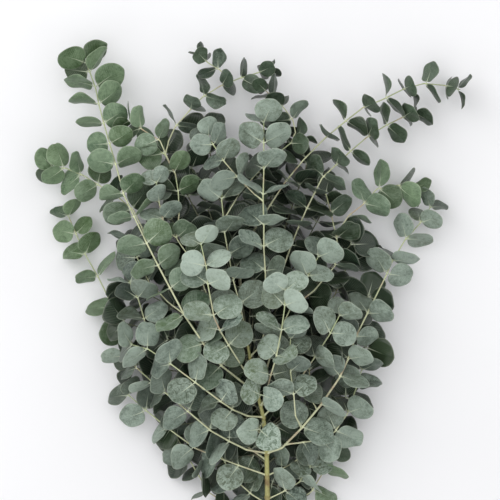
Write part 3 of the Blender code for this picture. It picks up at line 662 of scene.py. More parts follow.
# The main stem's bark, and its cut end: each ring's share of the radius, and its depth in
# millimetres. The last ring is the disc's back.
CUT_SHARE = 0.93
BARK_RING_STEP = 0.0012
BARK_SIDES = 28
BARK_WAVE = 0.008
CUT_DOME = -0.22
CUT_BACK = 2.0
CUT_RINGS = ((0.35, -0.2), (0.7, -0.14), (0.88, 0.0), (0.86, CUT_BACK))

# Inner shoots fan out below the others, which hide them, and fill the branch with dark leaves.
# Their darkest green without wax is partly the green of old inner leaves and partly painted shade.
# Each is the place on the main stem that it leaves, as a share of its length, and its tip in the
# growing rules' millimetres. Their leaves have fewer faces. Their habit is their tone, opening,
# first turn, turn step, turn to the light, and how much longer than wide their leaves are.
INNER_SHOOTS = (
    (0.62, (-150, -150, 34)), (0.66, (-158, -92, 40)), (0.7, (-152, -44, 30)), (0.76, (-142, 18, 44)),
    (0.82, (-118, 62, 32)), (0.87, (-108, 122, 40)), (0.92, (-74, 104, 50)), (0.96, (-58, 150, 34)),
    (0.98, (-36, 62, 60)), (0.94, (14, 92, 56)), (0.9, (42, 150, 40)), (0.86, (72, 108, 46)),
    (0.8, (98, 60, 36)), (0.74, (128, 8, 42)), (0.68, (150, -58, 36)), (0.62, (146, -122, 40)),
    (0.55, (122, -186, 34)), (0.5, (-98, -222, 32)), (0.42, (-58, -282, 28)), (0.34, (-34, -306, 24)),
    (0.42, (76, -286, 26)), (0.32, (44, -308, 24)), (0.78, (-104, -112, 58)), (0.74, (92, -120, 56)),
    (0.84, (-78, -30, 56)), (0.82, (62, -20, 58)), (0.52, (-72, -176, 50)), (0.54, (70, -196, 50)),
    (0.5, (-44, -238, 18)), (0.5, (72, -236, 20)), (0.58, (34, -204, 16)), (0.46, (-86, -256, 14)),
    (0.6, (-32, -192, 16)), (0.46, (112, -238, 16)), (0.4, (8, -286, 14)), (0.36, (-16, -330, 14)),
)
OUTER = {stem.name for stem in SHOOTS}
INNER_STEP = 27.0
INNER_WIDTH = 33.0
INNER_RADIUS = 1.3
INNER_HABIT = ("inner", 68, -14, 56, 0.7, 1.0)
INNER_LEAST_NODES = 3
INNER_DROP = 0.35
INNER_SWAY = 0.15
INNER_SLACK = 1.08
INNER_COLUMNS = (0.0, 0.08, 0.35, 0.7, 1.0)
INNER_ROWS = 8
INNER_SEED = 99
INNER_RING_STEP = 0.004
INNER_SIDES = 6

# How each tone's leaves are finished: its material slot
TONE_SLOTS = {
    "inner": "leaf_deep",
    "bright": "leaf_pale",
    "wax": "leaf_grey",
    "dull": "leaf_grey",
    "fresh": "leaf_fresh",
    "dark": "leaf_deep",
}

# A leaf is shaded by each leaf that is at least a rise higher and within a reach of it, seen
# from above, in millimetres, and it is fully shaded by the count of them. Shaded leaves keep less
# wax and take a darker green, partly as real shade leaves do and partly as painted shade, and the
# twigs of the inner shoots are painted a dull brown as painted shade.
SHADE_RISE = 7.0
SHADE_REACH = 21.0
SHADE_COUNT = 2.6
SHADE_WAX = 0.42
SHADE_GREEN = 0.78
PAINTED_SHADE_BROWN = 0.75

# How much bloom a tone's leaves keep, from none to all of it. The inner leaves keep less than
# none, so they show their darkest green, partly as painted shade in the depth of the branch.
TONE_BLOOM = {
    "bright": 0.69, "wax": 0.61, "dull": 0.57, "fresh": 0.48, "dark": 0.34, "inner": -0.1,
}
BLOOM_SPREAD = 0.2

# Sizes of the patterns, in metres, as on the real surfaces. The grain of the wax and the rays of
# the wood are finer in life, and are drawn as coarse as they need to be to show.
WAX_PATCH = 0.012
WAX_MOTTLE = 0.0034
WAX_GRAIN = 0.0011
SCUFF_STREAK = 0.0062
TWIG_PATCH = 0.03
TWIG_MOTTLE = 0.0028
BARK_PATCH = 0.014
BARK_SPECK = 0.0018
WOOD_RAY = 0.0009
GROWTH_RING = 0.0011
BOARD_CLOUD = 0.6
# The fibres of the bark run along the stem, and their pattern is this much finer across it.
FIBRE_STRETCH = 0.08

# The leaf's patterns, as shares of its width or of a full effect. A span is from a low to a high
# value, and what it gives at each of them.
WAX_SHARES = (1.1, 1.2, 0.8)
UNDERSIDE_WAX = 0.12
WAX_SPAN = (-0.1, 1.15)
SCUFFED_MORE = 0.13
BARE_SPAN = (0.58, 0.68)
RUBBED_OFF = 0.85
RIB_TAPER = (1.1, 2.0, 0.034)
RIB_SPAN = (0.0, 0.8)
RIB_FADING = (0.2, 0.85, 1.0, 0.2)
VEIN_SLANT = 0.9
VEIN_WANDER = 9.0
VEIN_SPAN = (0.72, 1.0)
VEINS_FROM_RIB = (0.02, 0.06)
VEINS_TO_RIM = (0.8, 0.97, 1.0, 0.0)
STALK_ALONG = (0.03, 0.2, 0.85, 0.0)
STALK_ASIDE = (0.03, 0.12, 1.0, 0.0)
RIM_SPAN = (0.9, 1.0, 0.0, 0.22)
AGE_SPAN = (0.0, 1.0, 0.0, 0.8)
VEIN_SHARE = 0.2
RIB_SHARE = 0.8
COLD = (0.85, 0.95, 1.12)
WARM = (1.25, 1.1, 0.8)
BARE_GLOSS = 0.16
WAX_MATT = 0.1

# How each slot's leaves are finished: the material, its two colours, roughness and sheen
LEAF_FINISHES = {
    "leaf_pale": ("thickly_waxed_leaf", "pale_bloom", "pale_green", 0.62, 0.12),
    "leaf_grey": ("waxed_leaf", "grey_bloom", "grey_green", 0.58, 0.1),
    "leaf_fresh": ("young_leaf", "fresh_bloom", "fresh_green", 0.52, 0.06),
    "leaf_deep": ("dark_satin_leaf", "deep_bloom", "deep_green", 0.46, 0.04),
}

# The values that each leaf's point carries
LEAF_VALUES = (
    ("facing", "QUATERNION"), ("size", "FLOAT_VECTOR"), ("form", "INT"), ("bloom", "FLOAT"),
    ("tint", "FLOAT"), ("scuff", "FLOAT"), ("shade", "FLOAT"), ("age", "FLOAT"),
    ("start", "FLOAT_VECTOR"),
)

# Kinds of node, in plain words: the node, its inputs in the order that they are given, its
# output or None for all of them, and its settings. Any other word is a Math node's operation.
VECTOR_MATH = "ShaderNodeVectorMath"
NODE_KINDS = {
    "mix": ("ShaderNodeMix", (0, 6, 7), 2, {"data_type": "RGBA"}),
    "span": ("ShaderNodeMapRange", (0, 1, 2, 3, 4), 0, {"interpolation_type": "SMOOTHSTEP"}),
    "noise": (
        "ShaderNodeTexNoise", ("Vector", "Scale", "Detail", "Roughness", "Distortion"), "Fac", {},
    ),
    "seeded noise": (
        "ShaderNodeTexNoise", ("Vector", "W", "Scale", "Detail"), "Color", {"noise_dimensions": "4D"},
    ),
    "place": ("ShaderNodeTexCoord", (), "Object", {}),
    "stretch": ("ShaderNodeMapping", ("Vector", "Scale"), 0, {}),
    "leaf map": ("ShaderNodeUVMap", (), 0, {"uv_map": "leaf_map"}),
    "value": ("ShaderNodeAttribute", (), "Fac", {}),
    "vector value": ("ShaderNodeAttribute", (), "Vector", {}),
    "bump": ("ShaderNodeBump", ("Height", "Strength", "Distance"), 0, {}),
    "vector add": (VECTOR_MATH, (0, 1), 0, {"operation": "ADD"}),
    "vector subtract": (VECTOR_MATH, (0, 1), 0, {"operation": "SUBTRACT"}),
    "vector scale": (VECTOR_MATH, (0, "Scale"), 0, {"operation": "SCALE"}),
    "length": (VECTOR_MATH, (0,), "Value", {"operation": "LENGTH"}),
    "parts": ("ShaderNodeSeparateXYZ", (0,), None, {}),
    "joined": ("ShaderNodeCombineXYZ", (0, 1, 2), 0, {}),
    "given": ("NodeGroupInput", (), None, {}),
    "result": ("NodeGroupOutput", (0,), None, {}),
    "position": ("GeometryNodeInputPosition", (), 0, {}),
    "point value": ("GeometryNodeInputNamedAttribute", ("Name",), "Attribute", {}),
    "moved by": ("GeometryNodeSetPosition", ("Geometry", "Offset"), 0, {}),
    "moved to": ("GeometryNodeSetPosition", ("Geometry", "Position"), 0, {}),
    "forms": (
        "GeometryNodeCollectionInfo", ("Collection", "Separate Children", "Reset Children"), 0, {},
    ),
    "on points": ("GeometryNodeInstanceOnPoints", (
        "Points", "Instance", "Pick Instance", "Instance Index", "Rotation", "Scale",
    ), 0, {}),
    "curve": ("GeometryNodeMeshToCurve", ("Mesh",), 0, {}),
    "smooth curve": (
        "GeometryNodeCurveSplineType", ("Curve",), 0, {"spline_type": "CATMULL_ROM"},
    ),
    "rings": ("GeometryNodeResampleCurve", ("Curve", "Length"), 0, {"mode": "LENGTH"}),
    "circle": ("GeometryNodeCurvePrimitiveCircle", ("Resolution", "Radius"), 0, {}),
    "tube": ("GeometryNodeCurveToMesh", ("Curve", "Profile Curve", "Scale", "Fill Caps"), 0, {}),
    "realized": ("GeometryNodeRealizeInstances", ("Geometry",), 0, {}),
    "smooth": ("GeometryNodeSetShadeSmooth", ("Geometry",), 0, {}),
    "finished": ("GeometryNodeSetMaterial", ("Geometry", "Material"), 0, {}),
}


def linear(colour):
    """An sRGB hex colour as linear red, green and blue."""
    shares = (int(colour[place:place + 2], 16) / 255 for place in (0, 2, 4))
    return tuple(s / 12.92 if s <= 0.04045 else ((s + 0.055) / 1.055) ** 2.4 for s in shares)


def add_node(tree, kind, *values, **settings):
    """Add a node with its settings, fill or link its inputs, and give its output."""
    math_node = ("ShaderNodeMath", (0, 1), 0, {"operation": kind.upper()})
    label, inputs, output, fixed = NODE_KINDS.get(kind, math_node)
    node = tree.nodes.new(label)
    for name, value in (fixed | settings).items():
        setattr(node, name, value)
    for key, value in zip(inputs, values):
        socket = node.inputs[key]
        if isinstance(value, bpy.types.NodeSocket):
            tree.links.new(value, socket)
        else:
            socket.default_value = (*value, 1.0) if socket.type == "RGBA" else value
    return node.outputs if output is None else node.outputs[output]


def colour_property(name, description, colour):
    """A colour that the user can change."""
    return bpy.props.FloatVectorProperty(
        name=name, description=description, default=linear(colour), subtype="COLOR",
        size=3, min=0.0, max=1.0,
    )


def length_property(name, description, default):
    """A length in metres that the user can change."""
    return bpy.props.FloatProperty(
        name=name, description=description, default=default, unit="LENGTH", min=0.0, precision=5,
    )


def share_property(name, description, default):
    """A share from none to all that the user can change."""
    return bpy.props.FloatProperty(
        name=name, description=description, default=default, subtype="FACTOR", min=0.0, max=1.0,
    )


class LeafLook(bpy.types.PropertyGroup):
    """Sizes and colours of the leaves."""

    thickness: length_property("Thickness", "Thickness of a blade at its middle", 0.00048)
    rib_height: length_property("Midrib height", "How far the midrib stands out below", 0.00035)
    groove_depth: length_property("Midrib groove", "How deep the midrib lies above", 0.00016)
    stalk_radius: length_property("Stalk radius", "Radius of the short leaf stalk", 0.0009)
    cup: share_property("Cup", "How far the sides rise or droop, as a share of the width", 0.075)
    fold: share_property("Fold", "How steeply the halves rise from the midrib", 0.13)
    edge_wave: share_property("Edge wave", "How far the edge waves, as a share of the width", 0.026)
    warp: length_property("Warp", "How far each leaf is bent out of its form", 0.0019)
    warp_size: length_property("Warp size", "Size of the bends", 0.024)
    lay_height: length_property("Lay height", "Below this a leaf bends to the surface", 0.003)
    vein_spacing: length_property("Vein spacing", "Distance between side veins", 0.0026)
    pale_bloom: colour_property("Pale bloom", "Thick wax on the pale leaves", "AEBEB1")
    pale_green: colour_property("Pale green", "Green under the wax of the pale leaves", "4E634F")
    grey_bloom: colour_property("Grey bloom", "Wax on the grey leaves", "9BAB9E")
    grey_green: colour_property("Grey green", "Green under the wax of the grey leaves", "3B4C3D")
    fresh_bloom: colour_property("Fresh bloom", "Thin wax on the younger leaves", "7D9573")
    fresh_green: colour_property("Fresh green", "Green of the younger leaves", "3A5734")
    deep_bloom: colour_property("Deep bloom", "Thin wax on the dark leaves", "556A54")
    deep_green: colour_property("Deep green", "Green of the dark leaves", "1F3420")
    # Painted shade: the dark green laid over leaves under others, which is also partly the real green of
    # shade leaves
    shade_green: colour_property("Shade green", "Dark green of the leaves in the shade", "16241A")
    vein: colour_property("Vein", "Pale green of the midrib", "CFD8BE")


class TwigLook(bpy.types.PropertyGroup):
    """Sizes and colours of the twigs."""

    ring_step: length_property("Ring step", "Distance between the rings of a twig's tube", 0.0016)
    swelling: share_property("Swelling", "How much thicker a twig is at a leaf pair", 0.32)
    collar: share_property("Collar", "How much thicker a twig is where it leaves its stem", 0.5)
    unevenness: length_property("Unevenness", "How far a twig's skin wanders", 0.00018)
    skin: colour_property("Skin", "Pale yellow-green of a grown twig", "D2D5AF")
    young: colour_property("Young skin", "Greener skin near the tips", "B3BF90")
    blush: colour_property("Blush", "Pinkish tint in places", "C0A48C")
    # Painted shade: the dull brown laid over the twigs of the inner shoots
    painted_shade_brown: colour_property("Shade brown", "Dull brown of the twigs in the shade", "34342A")


class BarkLook(bpy.types.PropertyGroup):
    """Sizes and colours of the main stem."""

    swelling: share_property("Swelling", "How much thicker the stem is where shoots leave", 0.22)
    unevenness: length_property("Unevenness", "How far the bark wanders", 0.0005)
    fibre: length_property("Fibre", "Width of the long fibres in the bark", 0.0008)
    green_bark: colour_property("Young bark", "Yellow-green young bark", "B5B476")
    brown_bark: colour_property("Old bark", "Tan-brown bark near the cut", "8A7550")
    wood: colour_property("Wood", "Pale wood of the cut end", "D8C79A")


class StageLook(bpy.types.PropertyGroup):
    """The floor and the light."""

    floor_colour: colour_property("Floor", "White studio board", "F9F9FB")
    sky_strength: bpy.props.FloatProperty(
        name="Room light", description="Strength of the even light from all round",
        default=0.58, min=0.0,
    )
    lamp_power: bpy.props.FloatProperty(
        name="Soft boxes", description="Power of all the soft boxes round the branch together",
        default=74.0, min=0.0, unit="POWER",
    )


def inner_shoots():
    """The inner shoots as stems of the growing rules, each on one long curve below the others."""
    start = [Vector(point[:3]) for point in MAIN_STEM.route]
    lengths = run_lengths(start)
    shoots = []
    for number, (share, tip) in enumerate(INNER_SHOOTS):
        reached = share * lengths[-1]
        k = max(n for n in range(len(start) - 1) if lengths[n] <= reached)
        base = start[k].lerp(start[k + 1], (reached - lengths[k]) / (lengths[k + 1] - lengths[k]))
        tip = Vector(tip)
        reach = (tip - base).length
        turn = base + Vector((INNER_SWAY * (tip.x - base.x), INNER_DROP * reach, tip.z - base.z))
        count = max(INNER_LEAST_NODES, round(reach * INNER_SLACK / INNER_STEP))
        route = []
        for step in range(count + 1):
            t = step / count
            place = base.lerp(turn, t).lerp(turn.lerp(tip, t), t)
            route.append((*place, INNER_WIDTH if step else 0))
        name = f"shoot_inner_{number:02d}"
        shoots.append(Stem(name, "main_stem", INNER_RADIUS, *INNER_HABIT, route))
    return shoots


@lru_cache(maxsize=None)
def branch():
    """The grown branch: its stems, its leaves, and the move from its own to the frame's place."""
    placed = place_stems(SHOOTS + inner_shoots())
    outer = {name: shape for name, shape in placed.items() if name in OUTER or name == "main_stem"}
    leaves = place_leaves(outer, SHOOTS)
    leaves = place_leaves(placed, inner_shoots(), leaves)
    shape = stem_mesh(*placed["main_stem"])
    low = Vector(min(corner.co[axis] for corner in shape.verts) for axis in range(3))
    shape.free()
    return placed, leaves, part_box("main_stem")[0] - low * MM


def in_frame(place):
    """A place of the growing rules, in millimetres, as one of the solid model's frame."""
    return Vector(place) * MM + branch()[2]


def new_tree(name, inputs):
    """A Geometry Nodes tree with a geometry in and out, and its inputs by name."""
    tree = bpy.data.node_groups.new(name, "GeometryNodeTree")
    tree.interface.new_socket("Geometry", in_out="INPUT", socket_type="NodeSocketGeometry")
    for label, kind in inputs:
        tree.interface.new_socket(label, in_out="INPUT", socket_type="NodeSocket" + kind)
    tree.interface.new_socket("Geometry", in_out="OUTPUT", socket_type="NodeSocketGeometry")
    return tree, add_node(tree, "given")


def finish_tree(tree, geometry, material):
    """End a tree in Realize Instances and Set Material."""
    smooth = add_node(tree, "smooth", add_node(tree, "realized", geometry))
    add_node(tree, "result", add_node(tree, "finished", smooth, material))


def wander(tree, geometry, amount, size, seed):
    """Move a mesh's points by a seeded noise of the given size."""
    scale = add_node(tree, "divide", 1.0, size)
    noise = add_node(tree, "seeded noise", add_node(tree, "position"), seed, scale, 1.0)
    centred = add_node(tree, "vector subtract", noise, (0.5, 0.5, 0.5))
    return add_node(tree, "moved by", geometry, add_node(tree, "vector scale", centred, amount))


@lru_cache(maxsize=None)
def leaves_tree():
    """Leaf forms on points, each turned and sized as its point says, and laid on the surface."""
    tree, given = new_tree("leaves_on_points", (
        ("Forms", "Collection"), ("Warp", "Float"), ("Warp size", "Float"), ("Lay height", "Float"),
        ("Seed", "Float"), ("Material", "Material"),
    ))
    forms = add_node(tree, "forms", given["Forms"], True, True)
    form = add_node(tree, "point value", "form", data_type="INT")
    facing = add_node(tree, "point value", "facing", data_type="QUATERNION")
    size = add_node(tree, "point value", "size", data_type="FLOAT_VECTOR")
    placed = add_node(tree, "on points", given["Geometry"], forms, True, form, facing, size)
    real = add_node(tree, "realized", placed)
    bent = wander(tree, real, given["Warp"], given["Warp size"], given["Seed"])
    finish_tree(tree, lay_on_surface(tree, bent, given["Lay height"]), given["Material"])
    return tree


def lay_on_surface(tree, geometry, height):
    """Bend whatever lies below the height smoothly up, so that it never sinks into the surface."""
    x, y, z = add_node(tree, "parts", add_node(tree, "position"))
    depth = add_node(tree, "subtract", add_node(tree, "minimum", z, height), height)
    eased = add_node(tree, "exponent", add_node(tree, "divide", depth, height))
    lifted = add_node(tree, "multiply", eased, height)
    above = add_node(tree, "subtract", add_node(tree, "maximum", z, height), height)
    place = add_node(tree, "joined", x, y, add_node(tree, "add", above, lifted))
    return add_node(tree, "moved to", geometry, place)


@lru_cache(maxsize=None)
def tube_tree():
    """A round tube along a route, as thick at each point as the route says."""
    tree, given = new_tree("tube_on_route", (
        ("Ring step", "Float"), ("Sides", "Int"), ("Unevenness", "Float"),
        ("Unevenness size", "Float"), ("Seed", "Float"), ("Material", "Material"),
    ))
    route = add_node(tree, "smooth curve", add_node(tree, "curve", given["Geometry"]))
    rings = add_node(tree, "rings", route, given["Ring step"])
    thickness = add_node(tree, "point value", "thickness", data_type="FLOAT")
    ring = add_node(tree, "circle", given["Sides"], 1.0)
    tube = add_node(tree, "tube", rings, ring, thickness, True)
    uneven = wander(tree, tube, given["Unevenness"], given["Unevenness size"], given["Seed"])
    finish_tree(tree, uneven, given["Material"])
    return tree


def grow_piece(name, points, tree, values):
    """A piece made by a Geometry Nodes tree on a mesh of points, left as a plain mesh."""
    piece = bpy.data.objects.new(name, points)
    bpy.context.scene.collection.objects.link(piece)
    modifier = piece.modifiers.new("grow", "NODES")
    modifier.node_group = tree
    for socket in tree.interface.items_tree:
        if socket.in_out == "INPUT" and socket.name in values:
            modifier[socket.identifier] = values[socket.name]
    depsgraph = bpy.context.evaluated_depsgraph_get()
    mesh = bpy.data.meshes.new_from_object(
        piece.evaluated_get(depsgraph), preserve_all_data_layers=True, depsgraph=depsgraph,
    )
    if not mesh.polygons:
        raise RuntimeError(f"{name} has no faces")
    piece.modifiers.clear()
    piece.data = mesh
    mesh.name = name
    bpy.data.meshes.remove(points)
    return piece


def stand_for(piece, node):
    """The piece rides on the body and stands for the node, whose solid it hides."""
    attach(piece, BODY)
    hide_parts(node)


def leaf_outline(angle, style):
    """How far a leaf's edge lies from its middle at an angle, as a share of a plain oval's."""
    at_tip = angle - math.pi / 2
    at_base = np.abs(angle + math.pi / 2)
    at_base = np.minimum(at_base, 2 * math.pi - at_base)
    reach = 1 + style["tip"] * np.exp(-(at_tip / style["tip_width"]) ** 2)
    reach -= style["base"] * np.exp(-(at_base / BASE_NOTCH_WIDTH) ** 2)
    for count, share, height in OUTLINE_WAVES:
        reach += height * np.sin(count * angle + share * style["phase"])
    return reach


def leaf_style(draw, look):
    """The seeded differences between leaf forms."""
    style = {"tip": draw.uniform(*(NOTCH if draw.random() < NOTCHED_SHARE else POINT))}
    for name, ends in STYLE_RANGES.items():
        style[name] = draw.uniform(*ends)
    style["waves"] = draw.choice(EDGE_WAVES)
    for name, ends in CURL_RANGES.items():
        style[name] = draw.uniform(*ends)
    style["side_curl"] = draw.choice((-1, 1)) * SIDE_CURL * draw.random() ** 3
    for name, size in (("cup", look.cup), ("fold", look.fold), ("wave", look.edge_wave)):
        style[name] *= size
    return style


def leaf_form(name, arch, look, draw, columns=FORM_COLUMNS, rows=FORM_ROWS):
    """One leaf form along +Y with its root at the origin, as a closed blade and its stalk."""
    style = leaf_style(draw, look)
    half = [-share for share in columns[:0:-1]] + list(columns)
    u, v = np.meshgrid(np.array(half), np.linspace(-1, 1, rows))
    disc_x = u * np.sqrt(1 - v * v / 2)
    disc_y = v * np.sqrt(1 - u * u / 2)
    edge = np.minimum(1.0, np.hypot(disc_x, disc_y))
    angle = np.arctan2(disc_y, disc_x)
    stretch = 1 + (leaf_outline(angle, style) - 1) * edge ** 2
    middle = (1 + BLADE_START) / 2
    x = disc_x * stretch * (1 - style["egg"] * disc_y) / 2
    y = middle + disc_y * stretch * (1 - middle)
    mid = arch * np.sin(math.pi * y)
    mid += style["cup"] * (2 * x) ** 2
    mid += style["fold"] * (np.sqrt(x * x + FOLD_SOFTNESS) - FOLD_DEPTH)
    mid += style["wave"] * edge ** 3 * np.sin(style["waves"] * angle + style["phase"])
    mid += style["tip_curl"] * np.maximum(0.0, y - TIP_CURL_START) ** 2
    mid += style["skew"] * x * y
    mid += style["side_curl"] * np.maximum(0.0, np.abs(2 * x) - SIDE_CURL_START) ** 2
    rib = np.exp(-(x / RIB_HALF_WIDTH) ** 2) * np.clip((RIB_END - y) / RIB_FADE, 0, 1)
    half_thick = look.thickness / 2 * (1 - EDGE_THINNING * edge ** 4)
    top = mid * FORM_SIZE + half_thick - look.groove_depth * rib
    bottom = mid * FORM_SIZE - half_thick - look.rib_height * rib
    rows, columns = u.shape
    count = rows * columns
    places = np.zeros((2 * count, 3))
    places[:count, 0] = places[count:, 0] = (x * FORM_SIZE).ravel()
    places[:count, 1] = places[count:, 1] = (y * FORM_SIZE).ravel()
    places[:count, 2] = top.ravel()
    places[count:, 2] = bottom.ravel()
    faces = []
    for row in range(rows - 1):
        for column in range(columns - 1):
            a = row * columns + column
            faces.append((a, a + 1, a + columns + 1, a + columns))
            faces.append((a + count, a + count + columns, a + count + columns + 1, a + count + 1))
    border = list(range(columns))
    border += [row * columns + columns - 1 for row in range(1, rows)]
    border += [(rows - 1) * columns + column for column in range(columns - 2, -1, -1)]
    border += [row * columns for row in range(rows - 2, 0, -1)]
    for here, there in zip(border, border[1:] + border[:1]):
        faces.append((here, here + count, there + count, there))
    stalk_places, stalk_faces = leaf_stalk(arch, look, 2 * count)
    all_places = [tuple(place) for place in places] + stalk_places
    mesh = bpy.data.meshes.new(name)
    mesh.from_pydata(all_places, [], faces + stalk_faces)
    stalk_count = len(stalk_places)
    underside = np.concatenate((np.zeros(count), np.ones(count), np.zeros(stalk_count)))
    rim = np.concatenate((edge.ravel(), edge.ravel(), np.zeros(stalk_count)))
    put_attribute(mesh, "underside", "FLOAT", underside)
    put_attribute(mesh, "rim", "FLOAT", rim)
    uv = mesh.uv_layers.new(name="leaf_map")
    flat = np.array(all_places)[:, :2] / FORM_SIZE + (0.5, 0.0)
    corners = np.zeros(len(mesh.loops), dtype=int)
    mesh.loops.foreach_get("vertex_index", corners)
    uv.data.foreach_set("uv", flat[corners].ravel())
    return bpy.data.objects.new(name, mesh)


def leaf_stalk(arch, look, first):
    """The short stalk of a leaf form: its points and faces, numbered from first."""
    places = []
    faces = []
    for along, share in STALK_RINGS:
        height = arch * math.sin(math.pi * along) * FORM_SIZE - look.groove_depth
        reach = look.stalk_radius * share
        for side in range(STALK_SIDES):
            turn = 2 * math.pi * side / STALK_SIDES
            places.append((reach * math.cos(turn), along * FORM_SIZE, height + reach * math.sin(turn)))
    for ring in range(len(STALK_RINGS) - 1):
        for side in range(STALK_SIDES):
            a = first + ring * STALK_SIDES + side
            b = first + ring * STALK_SIDES + (side + 1) % STALK_SIDES
            faces.append((a, a + STALK_SIDES, b + STALK_SIDES, b))
    last = first + (len(STALK_RINGS) - 1) * STALK_SIDES
    faces.append(tuple(first + side for side in range(STALK_SIDES)))
    faces.append(tuple(last + side for side in reversed(range(STALK_SIDES))))
    return places, faces


@lru_cache(maxsize=None)
def shades():
    """How far each leaf lies in the shade of others, from none to all of it, by leaf."""
    middles = []
    for leaf in branch()[1]:
        middles.append(leaf_frame(leaf) @ Vector((0, leaf.length / 2, 0)))
    places = np.array(middles)
    shares = {}
    for leaf, place in zip(branch()[1], places):
        away = np.hypot(places[:, 0] - place[0], places[:, 1] - place[1])
        over = (away < SHADE_REACH) & (places[:, 2] - place[2] > SHADE_RISE)
        shares[id(leaf)] = min(1.0, over.sum() / SHADE_COUNT)
    return shares


def leaf_points(name, leaves, tone):
    """A point for each leaf of a shoot, with its facing, size, form and finish."""
    draw = random.Random(f"{LOOK_SEED} {name}")
    mesh = bpy.data.meshes.new(name + "_points")
    mesh.from_pydata([tuple(in_frame(leaf.root)) for leaf in leaves], [], [])
    least, most = (ARCH * end for end in ARCH_RANGE)
    rows = []
    for leaf in leaves:
        along = LEAF_GROWTH * leaf.length * MM / FORM_SIZE
        across = LEAF_GROWTH * leaf.width * MM / FORM_SIZE
        points = branch()[0][leaf.stem][0]
        level = int((leaf.arch - least) / (most - least) * ARCH_LEVELS)
        level = max(0, min(ARCH_LEVELS - 1, level))
        shade = shades()[id(leaf)]
        rows.append((
            leaf_frame(leaf).to_quaternion(),
            (across, along, along),
            level * FORMS_A_LEVEL + draw.randrange(FORMS_A_LEVEL),
            # Leaves under others lose wax, partly as shade leaves do and partly as painted shade
            TONE_BLOOM[tone] + around(draw, BLOOM_SPREAD) - SHADE_WAX * shade,
            draw.uniform(-1, 1),
            draw.uniform(0, 1) ** 2,
            shade,
            1 - (leaf.root - points[0]).length / (points[-1] - points[0]).length,
            [draw.uniform(-1, 1) for _ in range(3)],
        ))
    for (label, kind), column in zip(LEAF_VALUES, zip(*rows)):
        put_attribute(mesh, label, kind, column)
    return mesh


def put_attribute(mesh, name, kind, values):
    """Give each point of a mesh a named value."""
    data = mesh.attributes.new(name, kind, "POINT").data
    field = "vector" if kind == "FLOAT_VECTOR" else "value"
    data.foreach_set(field, np.array(values).ravel())


def route_mesh(name, stations, shade=0.0):
    """An open chain of points with their thickness and knuckle, from base to tip."""
    mesh = bpy.data.meshes.new(name + "_route")
    edges = [(k, k + 1) for k in range(len(stations) - 1)]
    mesh.from_pydata([tuple(place) for place, _, _, _ in stations], edges, [])
    for label, column in (("thickness", 1), ("knuckle", 2), ("to_tip", 3)):
        put_attribute(mesh, label, "FLOAT", [station[column] for station in stations])
    # How much painted shade the twig's material lays on, from none to all of it
    put_attribute(mesh, "shade", "FLOAT", [shade] * len(stations))
    return mesh


def shoot_stations(stem, look):
    """The stations of a shoot's tube: its collar, a swelling at each node, and its tip."""
    placed = branch()[0]
    points, radii = placed[stem.name]
    parent_points = placed[stem.parent][0]
    first = closest_on_axis(parent_points, points[0])
    first = points[0].lerp(first, BASE_INSIDE)
    run = (points[1] - first).normalized()
    lengths = run_lengths(points)
    stations = []

    def add(place, radius, knuckle, along):
        share = max(0.0, min(1.0, along / lengths[-1]))
        stations.append((in_frame(place), (radius * SLIM_SHARE + SLIM_LEAST) * MM, knuckle, share))

    for ahead, knuckle in COLLAR_SPREAD:
        add(first + run * ahead, radii[0] * (1 + look.collar * knuckle), knuckle * COLLAR_KNUCKLE, ahead)
    for k in range(1, len(points) - 1):
        before = (points[k] - points[k - 1]).normalized()
        after = (points[k + 1] - points[k]).normalized()
        bare = stem.route[k][3] == 0
        swelling = look.swelling * (BARE_NODE if bare else 1.0)
        for ahead, knuckle in NODE_SPREAD:
            offset = ahead + (0.0 if bare else ROOT_AHEAD)
            along = before if offset < 0 else after
            radius = radii[k] * (1 + swelling * knuckle)
            add(points[k] + along * offset, radius, knuckle, lengths[k] + offset)
    last = (points[-1] - points[-2]).normalized()
    for ahead, share in TIP_SPREAD:
        offset = ahead - ROOT_BEHIND_TIP
        add(points[-1] + last * offset, radii[-1] * share, TIP_KNUCKLE, lengths[-1])
    return stations


def main_stations(look):
    """The stations of the main stem, thicker where shoots leave it."""
    placed = branch()[0]
    points, radii = placed["main_stem"]
    stations = []
    total = len(points) - 1
    for k in range(total + 1):
        thick = radii[k] * (CUT_SHARE if k == 0 else 1.0)
        if 0 < k < total:
            before = (points[k] - points[k - 1]).normalized()
            after = (points[k + 1] - points[k]).normalized()
            for ahead, knuckle in NODE_SPREAD:
                way = before if ahead < 0 else after
                radius = thick * (1 + look.swelling * knuckle)
                stations.append((in_frame(points[k] + way * ahead), radius * MM, knuckle, k / total))
        else:
            stations.append((in_frame(points[k]), thick * MM, 0.0, k / total))
    return stations


def scaled(colour, scales):
    """A colour with its red, green and blue scaled."""
    return tuple(min(1.0, part * scale) for part, scale in zip(colour, scales))


def layered(add, colour, layers):
    """A colour with others over it, each by its share."""
    for share, over in layers:
        colour = add("mix", share, colour, over)
    return colour


def new_material(name, roughness):
    """A material with only its shader and output, its shader, and its way to add a node."""
    material = bpy.data.materials.new(name)
    material.use_nodes = True
    shader = material.node_tree.nodes["Principled BSDF"]
    shader.inputs["Metallic"].default_value = 0.0
    shader.inputs["Roughness"].default_value = roughness
    return material, shader, partial(add_node, material.node_tree)


def finish_material(material, shader, colour, bump):
    """Link a material's colour and bump to its shader."""
    material.node_tree.links.new(colour, shader.inputs["Base Color"])
    material.node_tree.links.new(bump, shader.inputs["Normal"])
    return material


